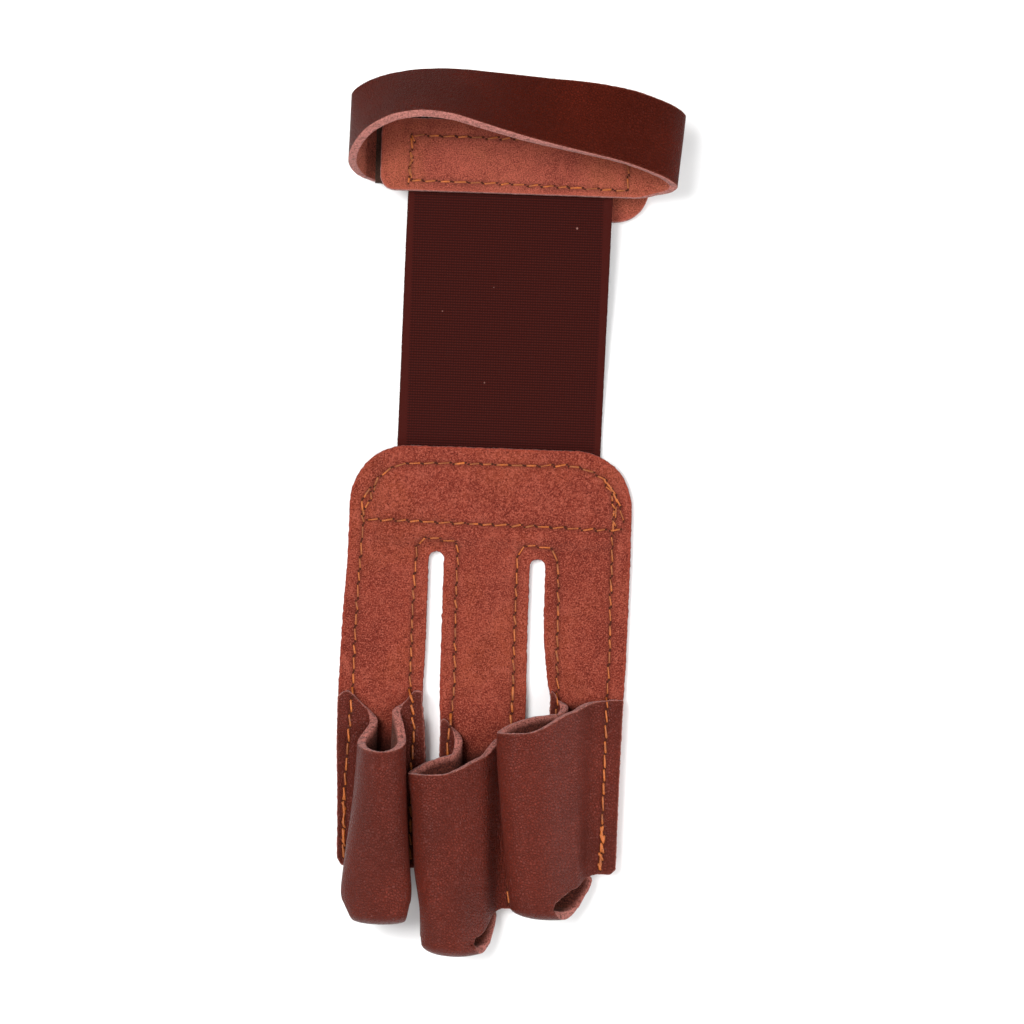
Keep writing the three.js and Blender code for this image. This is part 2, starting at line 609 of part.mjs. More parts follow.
// A leather fold between two points with their headings, as a smooth curve. The
// tightness is the share of the shorter way that the corner is left open.
const FOLD_TIGHTNESS = 0.45;
function fold(from, heading, to, leaving, cells) {
  const start = new THREE.Vector2(Math.cos(heading), Math.sin(heading));
  const end = new THREE.Vector2(Math.cos(leaving), Math.sin(leaving));
  const chord = to.clone().sub(from);
  const a = Math.abs(chord.dot(start));
  const b = Math.abs(chord.dot(end));
  const corner = FOLD_TIGHTNESS * Math.min(a, b);
  const turned = Math.min(1, Math.abs(heading - leaving) / (Math.PI / 2));
  const gentle = chord.length() / 3;
  const handleFrom = THREE.MathUtils.lerp(gentle, a - corner, turned);
  const handleTo = THREE.MathUtils.lerp(gentle, b - corner, turned);
  const curve = new THREE.CubicBezierCurve(
    from,
    from.clone().addScaledVector(start, handleFrom),
    to.clone().addScaledVector(end, -handleTo),
    to,
  );
  return curve.getPoints(cells);
}

// Section of a stall across the strip, from its left edge to its right edge
function stallSection(stall, at) {
  const { strip, height } = stall;
  const row = readTable(stall.sections, 'at', at);
  const y = stallY(stall, at);
  const [edgeL, edgeR] = stripEdges(strip, y);
  const place = (across, up) => new THREE.Vector2(strip.centre + across * strip.width, up * height);
  const bend = (neck, side, turn, radius) => {
    const angle = THREE.MathUtils.degToRad(turn);
    return spread(0, angle, BEND_CELLS).map((a) => new THREE.Vector2(
      strip.centre + neck * strip.width + side * radius * Math.sin(a),
      radius * (1 - Math.cos(a)),
    ));
  };
  const bendL = bend(row.neckL, 1, row.turnL, NECK_RADIUS);
  const bendR = bend(row.neckR, -1, row.turnR, stall.flare).reverse();
  const sideL = place(row.sideL, row.upL);
  const crest = place(row.crest, row.top);
  const sideR = place(row.sideR, row.upR);
  const up = Math.PI / 2;
  const turnL = THREE.MathUtils.degToRad(row.turnL);
  const turnR = -THREE.MathUtils.degToRad(row.turnR);
  const headingR = -THREE.MathUtils.degToRad(row.slopeR);
  const flangeL = spread(edgeL, bendL[0].x, FLANGE_CELLS[0]).map((x) => new THREE.Vector2(x, 0));
  const flangeR = spread(bendR[BEND_CELLS].x, edgeR, FLANGE_CELLS[1])
    .map((x) => new THREE.Vector2(x, 0));
  return [
    ...flangeL,
    ...bendL.slice(1),
    ...fold(bendL[BEND_CELLS], turnL, sideL, up, FOLD_CELLS[0]).slice(1),
    ...fold(sideL, up, crest, 0, FOLD_CELLS[1]).slice(1),
    ...fold(crest, 0, sideR, headingR, FOLD_CELLS[2]).slice(1),
    ...fold(sideR, headingR, bendR[0], turnR, FOLD_CELLS[3]).slice(1),
    ...bendR.slice(1),
    ...flangeR.slice(1),
  ];
}

function stallY(stall, at) {
  return -stall.strip.length + stall.length * (1 - at);
}

// Mouth and tip of each column of a stall, read between the landmarks
function stallColumns(stall) {
  let column = 0;
  const marks = [{ column, ...stall.edges[0] }];
  STALL_CELLS.forEach((part, i) => {
    column += part.cells;
    marks.push({ column, ...stall.edges[i + 1] });
  });
  return spread(0, column, column).map((c) => readTable(marks, 'column', c));
}

function stallSheet(stall) {
  const flangeLevel = PANEL_LEATHER + SEAT_GAP + STALL_LEATHER / 2;
  const columns = stallColumns(stall);
  const fullTip = stall.tongue[0].at;
  const [firstColumn, lastColumn] = stall.tongueColumns;
  const inTongue = (c) => c >= firstColumn && c <= lastColumn;
  const points = [];
  const pointAt = (c, at) => {
    const p = stallSection(stall, at)[c];
    return new THREE.Vector3(p.x, stallY(stall, at), flangeLevel + p.y);
  };
  for (let r = 0; r <= STALL_ROWS; r += 1) {
    columns.forEach((column, c) => {
      const tip = inTongue(c) ? fullTip : column.tip;
      points.push(pointAt(c, THREE.MathUtils.lerp(column.mouth, tip, r / STALL_ROWS)));
    });
  }
  const cells = gridCells(STALL_ROWS + 1, columns.length);
  const width = lastColumn - firstColumn + 1;
  const start = points.length;
  const tonguePoint = (row, c) => {
    const across = 2 * (c - firstColumn) / (width - 1) - 1;
    return new THREE.Vector3(
      stall.strip.centre + (row.centre + across * row.half) * stall.strip.width,
      stallY(stall, row.at),
      flangeLevel + row.up * stall.height,
    );
  };
  const tallest = stall.height * (1 - stall.tongue[0].up);
  let tongueRows = 0;
  for (let k = 0; k <= TIP_STEPS; k += 1) {
    const t = k / TIP_STEPS;
    for (let c = firstColumn; c <= lastColumn; c += 1) {
      const from = pointAt(c, fullTip);
      const to = tonguePoint(stall.tongue[0], c);
      const p = from.clone().lerp(to, (1 - Math.cos(Math.PI * t)) / 2);
      p.x = THREE.MathUtils.lerp(from.x, to.x, t);
      const reach = stall.tipRound * stall.height * (from.z - to.z) / tallest;
      p.y -= reach * Math.sin(Math.PI * t);
      points.push(p);
    }
    tongueRows += 1;
  }
  for (let k = 1; k < stall.tongue.length; k += 1) {
    for (const t of TONGUE_STEPS) {
      for (let c = firstColumn; c <= lastColumn; c += 1) {
        const from = tonguePoint(stall.tongue[k - 1], c);
        points.push(from.lerp(tonguePoint(stall.tongue[k], c), t));
      }
      tongueRows += 1;
    }
  }
  cells.push(...gridCells(tongueRows, width, start));
  return { points, cells };
}

// Colours by eye from the photograph
const leather = (color, roughness) => new THREE.MeshStandardMaterial({ color, roughness, metalness: 0 });
const group = new THREE.Group();
group.name = 'archery_glove';
const add = (name, sheet, thickness, material) => {
  const mesh = new THREE.Mesh(thicken(sheet, thickness), material);
  mesh.name = name;
  group.add(mesh);
};
const loopCentre = new THREE.Vector3(LOOP_PATCH_OFFSET, STRAP_MIDDLE + LOOP_PATCH_RISE, 0);
const lastFree = STRAP_FREE[STRAP_FREE.length - 1];
const freeCentre = new THREE.Vector3(
  HOOK_OFFSET,
  STRAP_MIDDLE + lastFree.along * STRAP_WIDTH
    - (HOOK_OFFSET - LOOP_OFFSET - lastFree.across * LOOP_WIDTH / 2)
    * Math.tan(THREE.MathUtils.degToRad(FREE_END_SLANT)),
  0,
);

add('hand_panel', handPanelSheet(), PANEL_LEATHER, leather('#a9503b', 0.95));
add('elastic_band', elasticSheet(), ELASTIC_THICKNESS, leather('#3d1517', 0.85));
add('wrist_strap', strapSheet(), STRAP_LEATHER, leather('#6d3026', 0.5));
add(
  'hook_patch',
  patchSheet(HOOK_WIDTH, HOOK_LENGTH, HOOK_LEVEL, FREE_END_SLANT, freeCentre),
  HOOK_THICKNESS,
  leather('#1e2420', 0.95),
);
add(
  'loop_patch',
  patchSheet(LOOP_PATCH_WIDTH, LOOP_PATCH_LENGTH, LOOP_LEVEL, 0, loopCentre),
  LOOP_THICKNESS,
  leather('#232a25', 0.95),
);
add('left_stall', stallSheet(LEFT_STALL), STALL_LEATHER, leather('#74352b', 0.5));
add('middle_stall', stallSheet(MIDDLE_STALL), STALL_LEATHER, leather('#713229', 0.5));
add('right_stall', stallSheet(RIGHT_STALL), STALL_LEATHER, leather('#733329', 0.5));

export default group;
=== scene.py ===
"""Three-finger leather archery glove lying on its back on a pale table.

Lengths in the tables and functions are millimetres, with +X to the right, +Y towards the
wrist and +Z up. Meshes are written in metres.
"""

import math

import bpy
import numpy as np
from bpy.props import FloatProperty, FloatVectorProperty, PointerProperty
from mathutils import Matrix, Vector, noise
from mathutils.bvhtree import BVHTree
from mathutils.kdtree import KDTree


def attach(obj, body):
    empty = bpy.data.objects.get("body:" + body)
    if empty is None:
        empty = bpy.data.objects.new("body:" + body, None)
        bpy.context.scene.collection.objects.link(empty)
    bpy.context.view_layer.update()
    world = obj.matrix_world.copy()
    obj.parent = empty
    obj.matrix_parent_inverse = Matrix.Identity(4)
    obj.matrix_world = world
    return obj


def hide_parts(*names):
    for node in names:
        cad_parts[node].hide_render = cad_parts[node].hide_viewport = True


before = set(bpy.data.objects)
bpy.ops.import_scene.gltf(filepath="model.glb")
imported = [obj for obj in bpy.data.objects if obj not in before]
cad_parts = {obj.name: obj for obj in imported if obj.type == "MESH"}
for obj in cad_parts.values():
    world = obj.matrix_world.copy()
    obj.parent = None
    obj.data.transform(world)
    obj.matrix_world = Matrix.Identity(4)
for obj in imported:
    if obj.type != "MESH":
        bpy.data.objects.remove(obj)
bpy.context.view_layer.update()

bl_info = {
    "name": "Archery glove",
    "version": (1, 0, 0),
    "blender": (4, 5, 0),
    "location": "View3D > Sidebar > Glove",
    "description": "Builds a three-finger leather archery glove with stitched stalls and a wrist strap",
    "category": "Add Mesh",
}

MM = 0.001
SEAT_GAP = 0.3

# Hand panel, in millimetres
LEFT_STRIP_WIDTH = 20.3
MIDDLE_STRIP_WIDTH = 21.1
RIGHT_STRIP_WIDTH = 20.7
SLOT_WIDTH = 4.2
LEFT_SLOT_TOP = 0.7
RIGHT_SLOT_TOP = -0.4
PANEL_HEAD = 26.5
PANEL_CORNER_RADIUS = 14.4
STRIP_CORNER_RADIUS = 3
PANEL_RAMP = 4.5
SIDE_MARGIN = 2

# Elastic band, strap and closure, in millimetres
ELASTIC_WIDTH = 50.4
ELASTIC_OFFSET = 2
ELASTIC_DRIFT = 0.7
ELASTIC_TUCK = 20.2
ELASTIC_FREE_LENGTH = 63.2
ELASTIC_UNDER_STRAP = 16.4
RIB_PITCH = 0.66
WALE_PITCH = 0.62
STRAP_WIDTH = 17.6
STRAP_MIDDLE = PANEL_HEAD + ELASTIC_FREE_LENGTH + STRAP_WIDTH / 2
LOOP_WIDTH = 81.6
LOOP_OFFSET = 3.8
LOOP_HEIGHT = 24
FREE_END_SLANT = 7.5
FREE_END_SHARES = (0.3, 0.65, 1)
HOOK_WIDTH = 15.6
HOOK_LENGTH = 0.637 * LOOP_WIDTH
HOOK_OFFSET = -1.5
LOOP_PATCH_WIDTH = 16.6
LOOP_PATCH_LENGTH = 0.757 * LOOP_WIDTH
LOOP_PATCH_OFFSET = 0
LOOP_PATCH_RISE = 1.4
HOOK_THICKNESS = 1
LOOP_THICKNESS = 1

# Bends where a stall leaves its flanges, in millimetres, and how round its folds are, as a
# share of the shorter way to their corner
NECK_RADIUS = 1.7
FLARE_RADIUS = 4
WIDE_FLARE_RADIUS = 6
FOLD_ROUNDNESS = 0.45

# Stitches, in millimetres: STITCH_RISE is the thread's rise above its holes, at shares of
# a stitch, and the seams lie on the stalls below STALL_SEAM_START. The leather under a seam
# is looked for from PANEL_SEARCH_HEIGHT, or from STRAP_SEARCH_RISE above the strap's middle.
STALL_SEAM_START = -36
STITCH_INSET = 0.32
STALL_STITCH_INSET = 0.1
THREAD_RADIUS = 0.2
STALL_THREAD_RADIUS = 0.27
THREAD_TWIST = 5.8
THREAD_TAPER = 0.75
THREAD_FLATNESS = 0.85
THREAD_SLANT = -0.2
TWIST_DEPTH = 0.16
LOCK_PITCH = 0.62
LOCK_SLANT = 0.3
HOLE_SIZE = (0.46, 0.27)
HOLE_RISE = 0.03
HOLE_SCATTER = 0.12
SLANT_SCATTER = 0.16
INSET_SCATTER = (-0.16, 0.22)
RADIUS_SCATTER = 0.04
PANEL_SEARCH_HEIGHT = 5.2
STRAP_SEARCH_RISE = 3.6
STITCH_RISE = (
    (0, -0.5), (0.06, -0.15), (0.16, 0.02), (0.32, 0.1), (0.5, 0.13),
    (0.68, 0.1), (0.84, 0.02), (0.94, -0.15), (1, -0.5),
)

# How finely the meshes are cut. CELLS are the cells between a stall's marks, each cut into
# REFINE more, and ROOF_MARKS the marks that make its roof.
REFINE = 4
CELLS = (1, 3, 4, 5, 4, 5, 4, 4, 2, 1)
FLANGE_CELLS = (4, 3)
BEND_CELLS = 4
FOLD_CELLS = (5, 4, 5, 4)
ROOF_MARKS = slice(3, 8)
STALL_ROWS = 72
SECTION_REACH = 1.32
SECTION_STEPS = 132
TONGUE_POINTS = 18
TIP_POINTS = 25
PANEL_COLUMNS = 36
CORNER_POINTS = 25
HEAD_POINTS = 20
STRIP_ROWS = 125
STRAP_STEPS = 14
STRAP_COLUMNS = 26
ELASTIC_COLUMNS = 48
ROWS_TO_A_RIB = 4
TAPE_CELL = 0.45
RIM_RINGS = 6
THREAD_SIDES = 8
HOLE_SIDES = 9
SEAM_STEPS = 40

# Where a strip of the panel ends sideways inside a stall, from its centre line, and the
# furthest that the distances to an edge or a seam are measured, in millimetres
STRIP_HALF = (10.5, 11.5)
FURTHEST = 9

# Studio: where each light stands, its power in watts, and its width and height in metres
LIGHTS = (
    ("Key", (-0.48, 0.2, 0.85), 11.5, (0.45, 0.6)),
    ("Fill", (0.85, 0.02, 0.55), 7.5, (0.6, 0.5)),
    ("Front", (-0.1, -0.75, 0.8), 4, (0.6, 0.4)),
)
CAMERA_PLACE = (0.00582, 0.01096, 0.7)
CAMERA_ROLL = 2
CAMERA_LENS = 36 * 700 / 256
TABLE_HALF = 1.5
TABLE_LEVEL = -0.0002


def named(columns, *rows):
    """Rows of numbers as dictionaries with the names of their columns."""
    names = columns.split()
    return [dict(zip(names, row)) for row in rows]


# Each strip's edges: down is the share of its length below the knuckle line, left and
# right are shares of its width from its centre line.
LEFT_STRIP = {
    "centre": -(MIDDLE_STRIP_WIDTH / 2 + SLOT_WIDTH + LEFT_STRIP_WIDTH / 2),
    "width": LEFT_STRIP_WIDTH,
    "length": 78.2,
    "edges": named(
        "down left right",
        (0, -0.475, 0.5),
        (0.26, -0.52, 0.5),
        (0.45, -0.535, 0.485),
        (0.59, -0.53, 0.535),
        (0.78, -0.5, 0.56),
        (1, -0.475, 0.57),
    ),
}
MIDDLE_STRIP = {
    "centre": 0,
    "width": MIDDLE_STRIP_WIDTH,
    "length": 87.5,
    "edges": named(
        "down left right",
        (0, -0.5, 0.5),
        (0.23, -0.5, 0.5),
        (0.4, -0.495, 0.51),
        (0.5, -0.475, 0.515),
        (1, -0.465, 0.44),
    ),
}
RIGHT_STRIP = {
    "centre": MIDDLE_STRIP_WIDTH / 2 + SLOT_WIDTH + RIGHT_STRIP_WIDTH / 2,
    "width": RIGHT_STRIP_WIDTH,
    "length": 78.2,
    "edges": named(
        "down left right",
        (0, -0.5, 0.505),
        (0.2, -0.495, 0.5),
        (0.385, -0.43, 0.488),
        (0.45, -0.385, 0.48),
        (0.74, -0.385, 0.462),
        (1, -0.395, 0.456),
    ),
}

# Each stall's sections, seen from the wrist: at is the share of the stall's length below
# its top edge, across a share of the strip's width, up a share of the stall's height.
SECTION = "at neckL turnL sideL upL crest top sideR upR slopeR turnR neckR"
STALLS = {
    "left_stall": {
        "strip": LEFT_STRIP,
        "length": 43.7,
        "height": 14,
        "sections": named(
            SECTION,
            (0, -0.172, 112, -0.2, 0.55, 0.03, 1, 0.26, 0.55, 90, 112, 0.268),
            (0.28, -0.172, 114, -0.212, 0.55, 0.03, 1, 0.278, 0.55, 90, 114, 0.268),
            (0.46, -0.175, 114, -0.228, 0.56, 0.03, 1, 0.295, 0.56, 90, 114, 0.27),
            (0.72, -0.185, 114, -0.272, 0.56, 0.03, 0.96, 0.33, 0.56, 90, 114, 0.285),
            (1, -0.21, 114, -0.335, 0.56, 0.03, 0.9, 0.385, 0.56, 90, 114, 0.3),
            (1.12, -0.212, 114, -0.352, 0.56, 0.04, 0.86, 0.408, 0.56, 90, 114, 0.3),
            (1.3, -0.19, 108, -0.21, 0.56, 0.08, 0.8, 0.37, 0.56, 90, 108, 0.29),
        ),
        "mouth": (0.045, 0.012, 0.11, 0.19, 0.285, 0.325, 0.27, 0.13, 0.07, 0, 0.003),
        "tip": (0.957, 1, 1, 1.03, 1.16, 1.238, 1.165, 1.03, 1, 1, 0.985),
        "tongue": named(
            "at centre half up",
            (1.238, 0.1, 0.24, 0.16),
            (1.015, 0.045, 0.12, 0),
            (0.94, 0.045, 0.11, 0),
        ),
        "tongue_columns": (14, 21),
        "tip_round": 0.19,
        "flare": NECK_RADIUS,
    },
    "middle_stall": {
        "strip": MIDDLE_STRIP,
        "length": 46.3,
        "height": 11,
        "sections": named(
            SECTION,
            (0, -0.345, 172, -0.7, 0.58, -0.48, 0.95, 0.03, 0.53, 36, 40, 0.36),
            (0.29, -0.33, 176, -0.787, 0.58, -0.53, 1, 0.03, 0.56, 37, 42, 0.36),
            (0.43, -0.315, 176, -0.739, 0.58, -0.5, 1, 0.03, 0.56, 38, 43, 0.36),
            (0.78, -0.3, 172, -0.678, 0.58, -0.43, 1, 0.04, 0.56, 39, 45, 0.355),
            (1.03, -0.3, 168, -0.59, 0.6, -0.34, 0.98, 0.05, 0.56, 40, 46, 0.35),
            (1.2, -0.3, 164, -0.575, 0.62, -0.32, 0.92, 0.05, 0.56, 40, 46, 0.34),
        ),
        "mouth": (0.017, 0, 0.045, 0.185, 0.283, 0.281, 0.184, 0.09, 0.065, 0.06, 0.06),
        "tip": (0.99, 1, 1, 1.022, 1.136, 1.184, 1.13, 1.017, 1, 1, 0.99),
        "tongue": named(
            "at centre half up",
            (1.184, -0.055, 0.245, 0.2),
            (1.03, 0.06, 0.185, 0.02),
            (1.005, 0.02, 0.17, 0),
            (0.94, 0.02, 0.165, 0),
        ),
        "tongue_columns": (14, 21),
        "tip_round": 0.21,
        "flare": FLARE_RADIUS,
    },
    "right_stall": {
        "strip": RIGHT_STRIP,
        "length": 44.8,
        "height": 11,
        "sections": named(
            SECTION,
            (0, -0.31, 174, -0.93, 0.58, -0.7, 0.93, -0.11, 0.5, 33, 35, 0.275),
            (0.24, -0.295, 178, -0.973, 0.58, -0.72, 1, -0.11, 0.53, 34, 36, 0.275),
            (0.59, -0.265, 178, -0.911, 0.58, -0.66, 1, -0.09, 0.54, 35, 38, 0.275),
            (0.92, -0.25, 172, -0.824, 0.59, -0.56, 0.98, -0.06, 0.54, 36, 39, 0.275),
            (1.17, -0.25, 168, -0.746, 0.6, -0.5, 0.93, -0.03, 0.54, 37, 40, 0.27),
        ),
        "mouth": (0.013, 0, 0.047, 0.12, 0.228, 0.221, 0.098, 0.052, 0.042, 0.036, 0.036),
        "tip": (0.99, 1, 1, 1.022, 1.15, 1.183, 1.067, 1.018, 1, 1, 0.969),
        "tongue": named(
            "at centre half up",
            (1.183, -0.237, 0.265, 0.2),
            (1.03, 0.02, 0.15, 0.02),
            (1.005, -0.005, 0.1, 0),
            (0.94, -0.005, 0.095, 0),
        ),
        "tongue_columns": (13, 19),
        "tip_round": 0.19,
        "flare": WIDE_FLARE_RADIUS,
    },
}

# Wrist strap: across is a share of half the loop's width, along a share of the strap's
# width, up a share of the loop's height; lean rolls the far rim down, turn swings it.
STATION = "across along up lean turn"
STRAP_START = named(
    STATION,
    (-0.815, 0, 0, 0, 0),
    (-0.4, 0, 0, 0, 0),
    (0, 0, 0, 0, 0),
    (0.4, 0, 0, 0, 0),
    (0.66, 0, 0, 0, 1),
    (0.77, 0.005, 0.004, 1, 2),
    (0.87, 0.05, 0.035, 4, 4),
    (0.95, 0.085, 0.11, 7, 5),
)
STRAP_ARCH = named(
    STATION,
    (0.972, 0.14, 0.45, 4, 5),
    (0.92, 0.215, 0.59, 3, 6),
    (0.828, 0.29, 0.69, 2, 6.6),
    (0.658, 0.395, 0.79, 4, 7),
    (0.488, 0.455, 0.86, 9, 7.2),
    (0.318, 0.5, 0.915, 16, 7.2),
    (0.148, 0.54, 0.96, 24, 7.1),
    (-0.022, 0.595, 0.988, 31, 7),
    (-0.194, 0.66, 0.99, 38, 6.8),
    (-0.364, 0.725, 0.97, 44, 6.6),
    (-0.538, 0.745, 0.935, 47, 6.4),
    (-0.71, 0.7, 0.858, 46, 5.2),
    (-0.865, 0.58, 0.725, 40, 2.1),
    (-0.945, 0.45, 0.61, 32, 0),
    (-0.98, 0.345, 0.49, 24, -1),
    (-0.975, 0.275, 0.32, 14, 1),
    (-0.925, 0.2, 0.15, 7, 4),
    (-0.85, 0.155, 0.035, 2, 6),
    (-0.765, 0.11, 0.003, 0, FREE_END_SLANT),
)
STRAP_START_ROUND = 0.2
STRAP_FREE_ROUND = 0.46
FREE_END_ACROSS = 0.815

# Seams, as corners in millimetres. Those named lock are sewn over once more.
PANEL_SEAMS = {
    "top_row": [
        (-29.3, 16), (-26.2, 19.8), (-23, 21.7), (-15, 22.4), (-2.6, 22.6), (9.9, 22.6), (19.9, 22.9),
        (24.9, 21.8), (28.7, 19.7), (31.3, 16.1), (33, 12.4), (33.6, 9.2),
    ],
    "bottom_row": [
        (-30.6, 7.9), (-22, 7.9), (-9.5, 7.7), (2.9, 7.6), (15.4, 7.5), (27.9, 7.2), (33.4, 7.4),
    ],
    "left_side": [
        (-29.3, 16), (-31.8, 12.6), (-31.2, 7.7), (-31.6, -2.3), (-32, -12.3), (-32.3, -24.8), (-32.3, -35),
        (-32.7, -42.5), (-33.1, -52.3), (-33.4, -59.8), (-33.3, -69.7), (-33.1, -76.6),
    ],
    "right_side": [
        (28.7, 19.7), (31.9, 14.9), (30.9, 7.3), (31.2, -0.1), (31.1, -10.1), (31.4, -22.6), (31.1, -34.3),
        (31, -55), (30.8, -77.3),
    ],
    "left_slot": [
        (-16.5, -76.6), (-16.8, -60), (-17, -50.7), (-16.6, -46), (-17.5, -36.8), (-18, -34.3),
        (-18.1, -24.3), (-18.1, -11.8), (-17.7, -1.8), (-17.3, 2.9), (-15.9, 4), (-11.9, 3.6), (-8.4, 3.2),
        (-7.3, 2.3), (-7.4, -4), (-7.4, -11.5), (-7.2, -23.9), (-7.1, -33.9), (-7.5, -40.1), (-8.1, -46),
        (-8.1, -60), (-8.1, -86),
    ],
    "right_slot": [
        (8.3, -86.4), (8.1, -81.7), (8.1, -60), (7.4, -41.9), (7.6, -35.9), (7.5, -23.4), (7.6, -3.5),
        (7.9, 2), (9.6, 2.9), (13.1, 2.5), (16.4, 2.1), (17.1, 1.6), (17.9, -5.6), (18.2, -15.6),
        (18.3, -25.5), (18.8, -33), (18.5, -38.5), (18.5, -60), (18.5, -76.6),
    ],
    "right_stall_lock": [(31.1, -66), (30.8, -77.4)],
    "right_stall_second_lock": [(31.6, -68.5), (30.5, -77.4)],
    "left_stall_lock": [(-33.5, -60), (-33, -76.4)],
    "head_left_lock": [(-28.2, 16.6), (-29.9, 12.6), (-31.6, 8.6)],
    "head_right_lock": [(28.2, 20.4), (30.6, 15.4), (31.4, 7.9)],
}
STRAP_SEAMS = {
    "strap_top": [(-22.1, 103.2), (0, 103.1), (31.4, 102.6)],
    "strap_right": [(31.4, 102.6), (31.6, 91.2)],
    "strap_bottom": [(31.6, 91.2), (15, 91.6), (0, 91.9), (-22.1, 92)],
    "strap_left": [(-22.1, 92), (-22.1, 103.2)],
    "strap_left_lock": [(-22.6, 90.9), (-21.7, 103.6)],
}


def lerp(a, b, t):
    return a + (b - a) * t


def smoothstep(x, low, high):
    t = np.clip((x - low) / (high - low), 0, 1)
    return t * t * (3 - 2 * t)


def table_slope(a, b, c, key, name):
    """Slope of a table at its middle row, flat where the values turn back."""
    if a is b or b is c:
        return (c[name] - a[name]) / (c[key] - a[key])
    left = (b[name] - a[name]) / (b[key] - a[key])
    right = (c[name] - b[name]) / (c[key] - b[key])
    return 0 if left * right <= 0 else 2 * left * right / (left + right)


def hermite(t, a, slope_a, b, slope_b):
    """The smooth curve between two values with their slopes, at a share of the way."""
    return (
        (2 * t**3 - 3 * t**2 + 1) * a
        + (t**3 - 2 * t**2 + t) * slope_a
        + (3 * t**2 - 2 * t**3) * b
        + (t**3 - t**2) * slope_b
    )


def read_table(rows, key, value):
    """A table's numbers at one value of its key column, along a smooth curve."""
    last = len(rows) - 1
    i = 0
    while i < last - 1 and value > rows[i + 1][key]:
        i += 1
    a, b = rows[i], rows[i + 1]
    before, after = rows[max(i - 1, 0)], rows[min(i + 2, last)]
    span = b[key] - a[key]
    t = min(max((value - a[key]) / span, 0), 1)
    out = {}
    for name in a:
        if name != key:
            from_slope = table_slope(before, a, b, key, name) * span
            to_slope = table_slope(a, b, after, key, name) * span
            out[name] = hermite(t, a[name], from_slope, b[name], to_slope)
    return out


def grid_cells(rows, columns, start=0):
    """Four-sided cells of a grid whose rows run left to right and downwards."""
    r, c = np.meshgrid(np.arange(rows - 1), np.arange(columns - 1), indexing="ij")
    a = (start + r * columns + c).ravel()
    return np.stack([a, a + columns, a + columns + 1, a + 1], axis=1)


def strip_edges(strip, y):
    down = min(max(-y / strip["length"], 0), 1)
    row = read_table(strip["edges"], "down", down)
    return [strip["centre"] + row[side] * strip["width"] for side in ("left", "right")]


def panel_lift(x, y, sizes):
    """How far the panel rises where it lies on the elastic band."""
    start = PANEL_HEAD - ELASTIC_TUCK - SIDE_MARGIN / 2
    edge = ELASTIC_WIDTH / 2 + SIDE_MARGIN
    along = smoothstep(y, start - PANEL_RAMP, start)
    across = 1 - smoothstep(np.abs(x - ELASTIC_OFFSET), edge, edge + PANEL_RAMP)
    return (sizes.elastic_thickness / MM + SEAT_GAP) * along * across


def slot_edge(centre, top, side, open_edge, y):
    """Edge of a slot, whose closed end is a half circle."""
    radius = SLOT_WIDTH / 2
    below = top - y
    if below <= 0:
        return centre
    if below < radius:
        return centre + side * math.sqrt(radius**2 - (radius - below) ** 2)
    return open_edge


def panel_sheet(sizes):
    """Middle surface of the hand panel: three strips that part at the slots."""
    left_slot = -(MIDDLE_STRIP_WIDTH + SLOT_WIDTH) / 2
    right_slot = -left_slot
    corner = PANEL_HEAD - PANEL_CORNER_RADIUS

    def head_edge(x, y, side):
        rise = min(max(y - corner, 0) / PANEL_CORNER_RADIUS, 1)
        return x - side * PANEL_CORNER_RADIUS * (1 - math.sqrt(1 - rise**2))

    def edges_at(strip, y):
        left, right = strip_edges(strip, y)
        if strip is LEFT_STRIP:
            left = head_edge(left, y, -1)
            right = slot_edge(left_slot, LEFT_SLOT_TOP, -1, right, y)
        elif strip is MIDDLE_STRIP:
            left = slot_edge(left_slot, LEFT_SLOT_TOP, 1, left, y)
            right = slot_edge(right_slot, RIGHT_SLOT_TOP, -1, right, y)
        else:
            left = slot_edge(right_slot, RIGHT_SLOT_TOP, 1, left, y)
            right = head_edge(right, y, 1)
        return left, right

    slot_rows = [
        top - (1 - math.cos(turn)) * SLOT_WIDTH / 2
        for top, turns in (
            (LEFT_SLOT_TOP, (0, 28, 45, 58, 75, 90)),
            (RIGHT_SLOT_TOP, (0, 25, 47, 62, 76, 90)),
        )
        for turn in np.radians(turns)
    ]
    turns = np.linspace(math.pi / 2, 0, CORNER_POINTS)
    corner_rows = [corner + PANEL_CORNER_RADIUS * math.sin(turn) for turn in turns]
    lowest = min(slot_rows)
    seam_rows = list(np.linspace(corner, max(slot_rows), HEAD_POINTS)[1:-1])
    head_rows = sorted(corner_rows + seam_rows + slot_rows, reverse=True)
    points, cells = [], []
    for strip in (LEFT_STRIP, MIDDLE_STRIP, RIGHT_STRIP):
        rows = head_rows + list(np.linspace(lowest, -strip["length"], STRIP_ROWS + 1)[1:])
        start = len(points)
        for y in rows:
            left, right = edges_at(strip, y)
            share = max(0, (lowest - y) / (lowest + strip["length"]))
            for x in np.linspace(left, right, PANEL_COLUMNS + 1):
                from_edge = min(x - left, right - x)
                short = STRIP_CORNER_RADIUS * max(0, 1 - from_edge / STRIP_CORNER_RADIUS) ** 1.6
                points.append((x, y + short * share**8, 0))
        cells.append(grid_cells(len(rows), PANEL_COLUMNS + 1, start))
    points = np.array(points)
    points[:, 2] = panel_lift(points[:, 0], points[:, 1], sizes) + sizes.panel_leather / MM / 2
    return points, np.concatenate(cells)


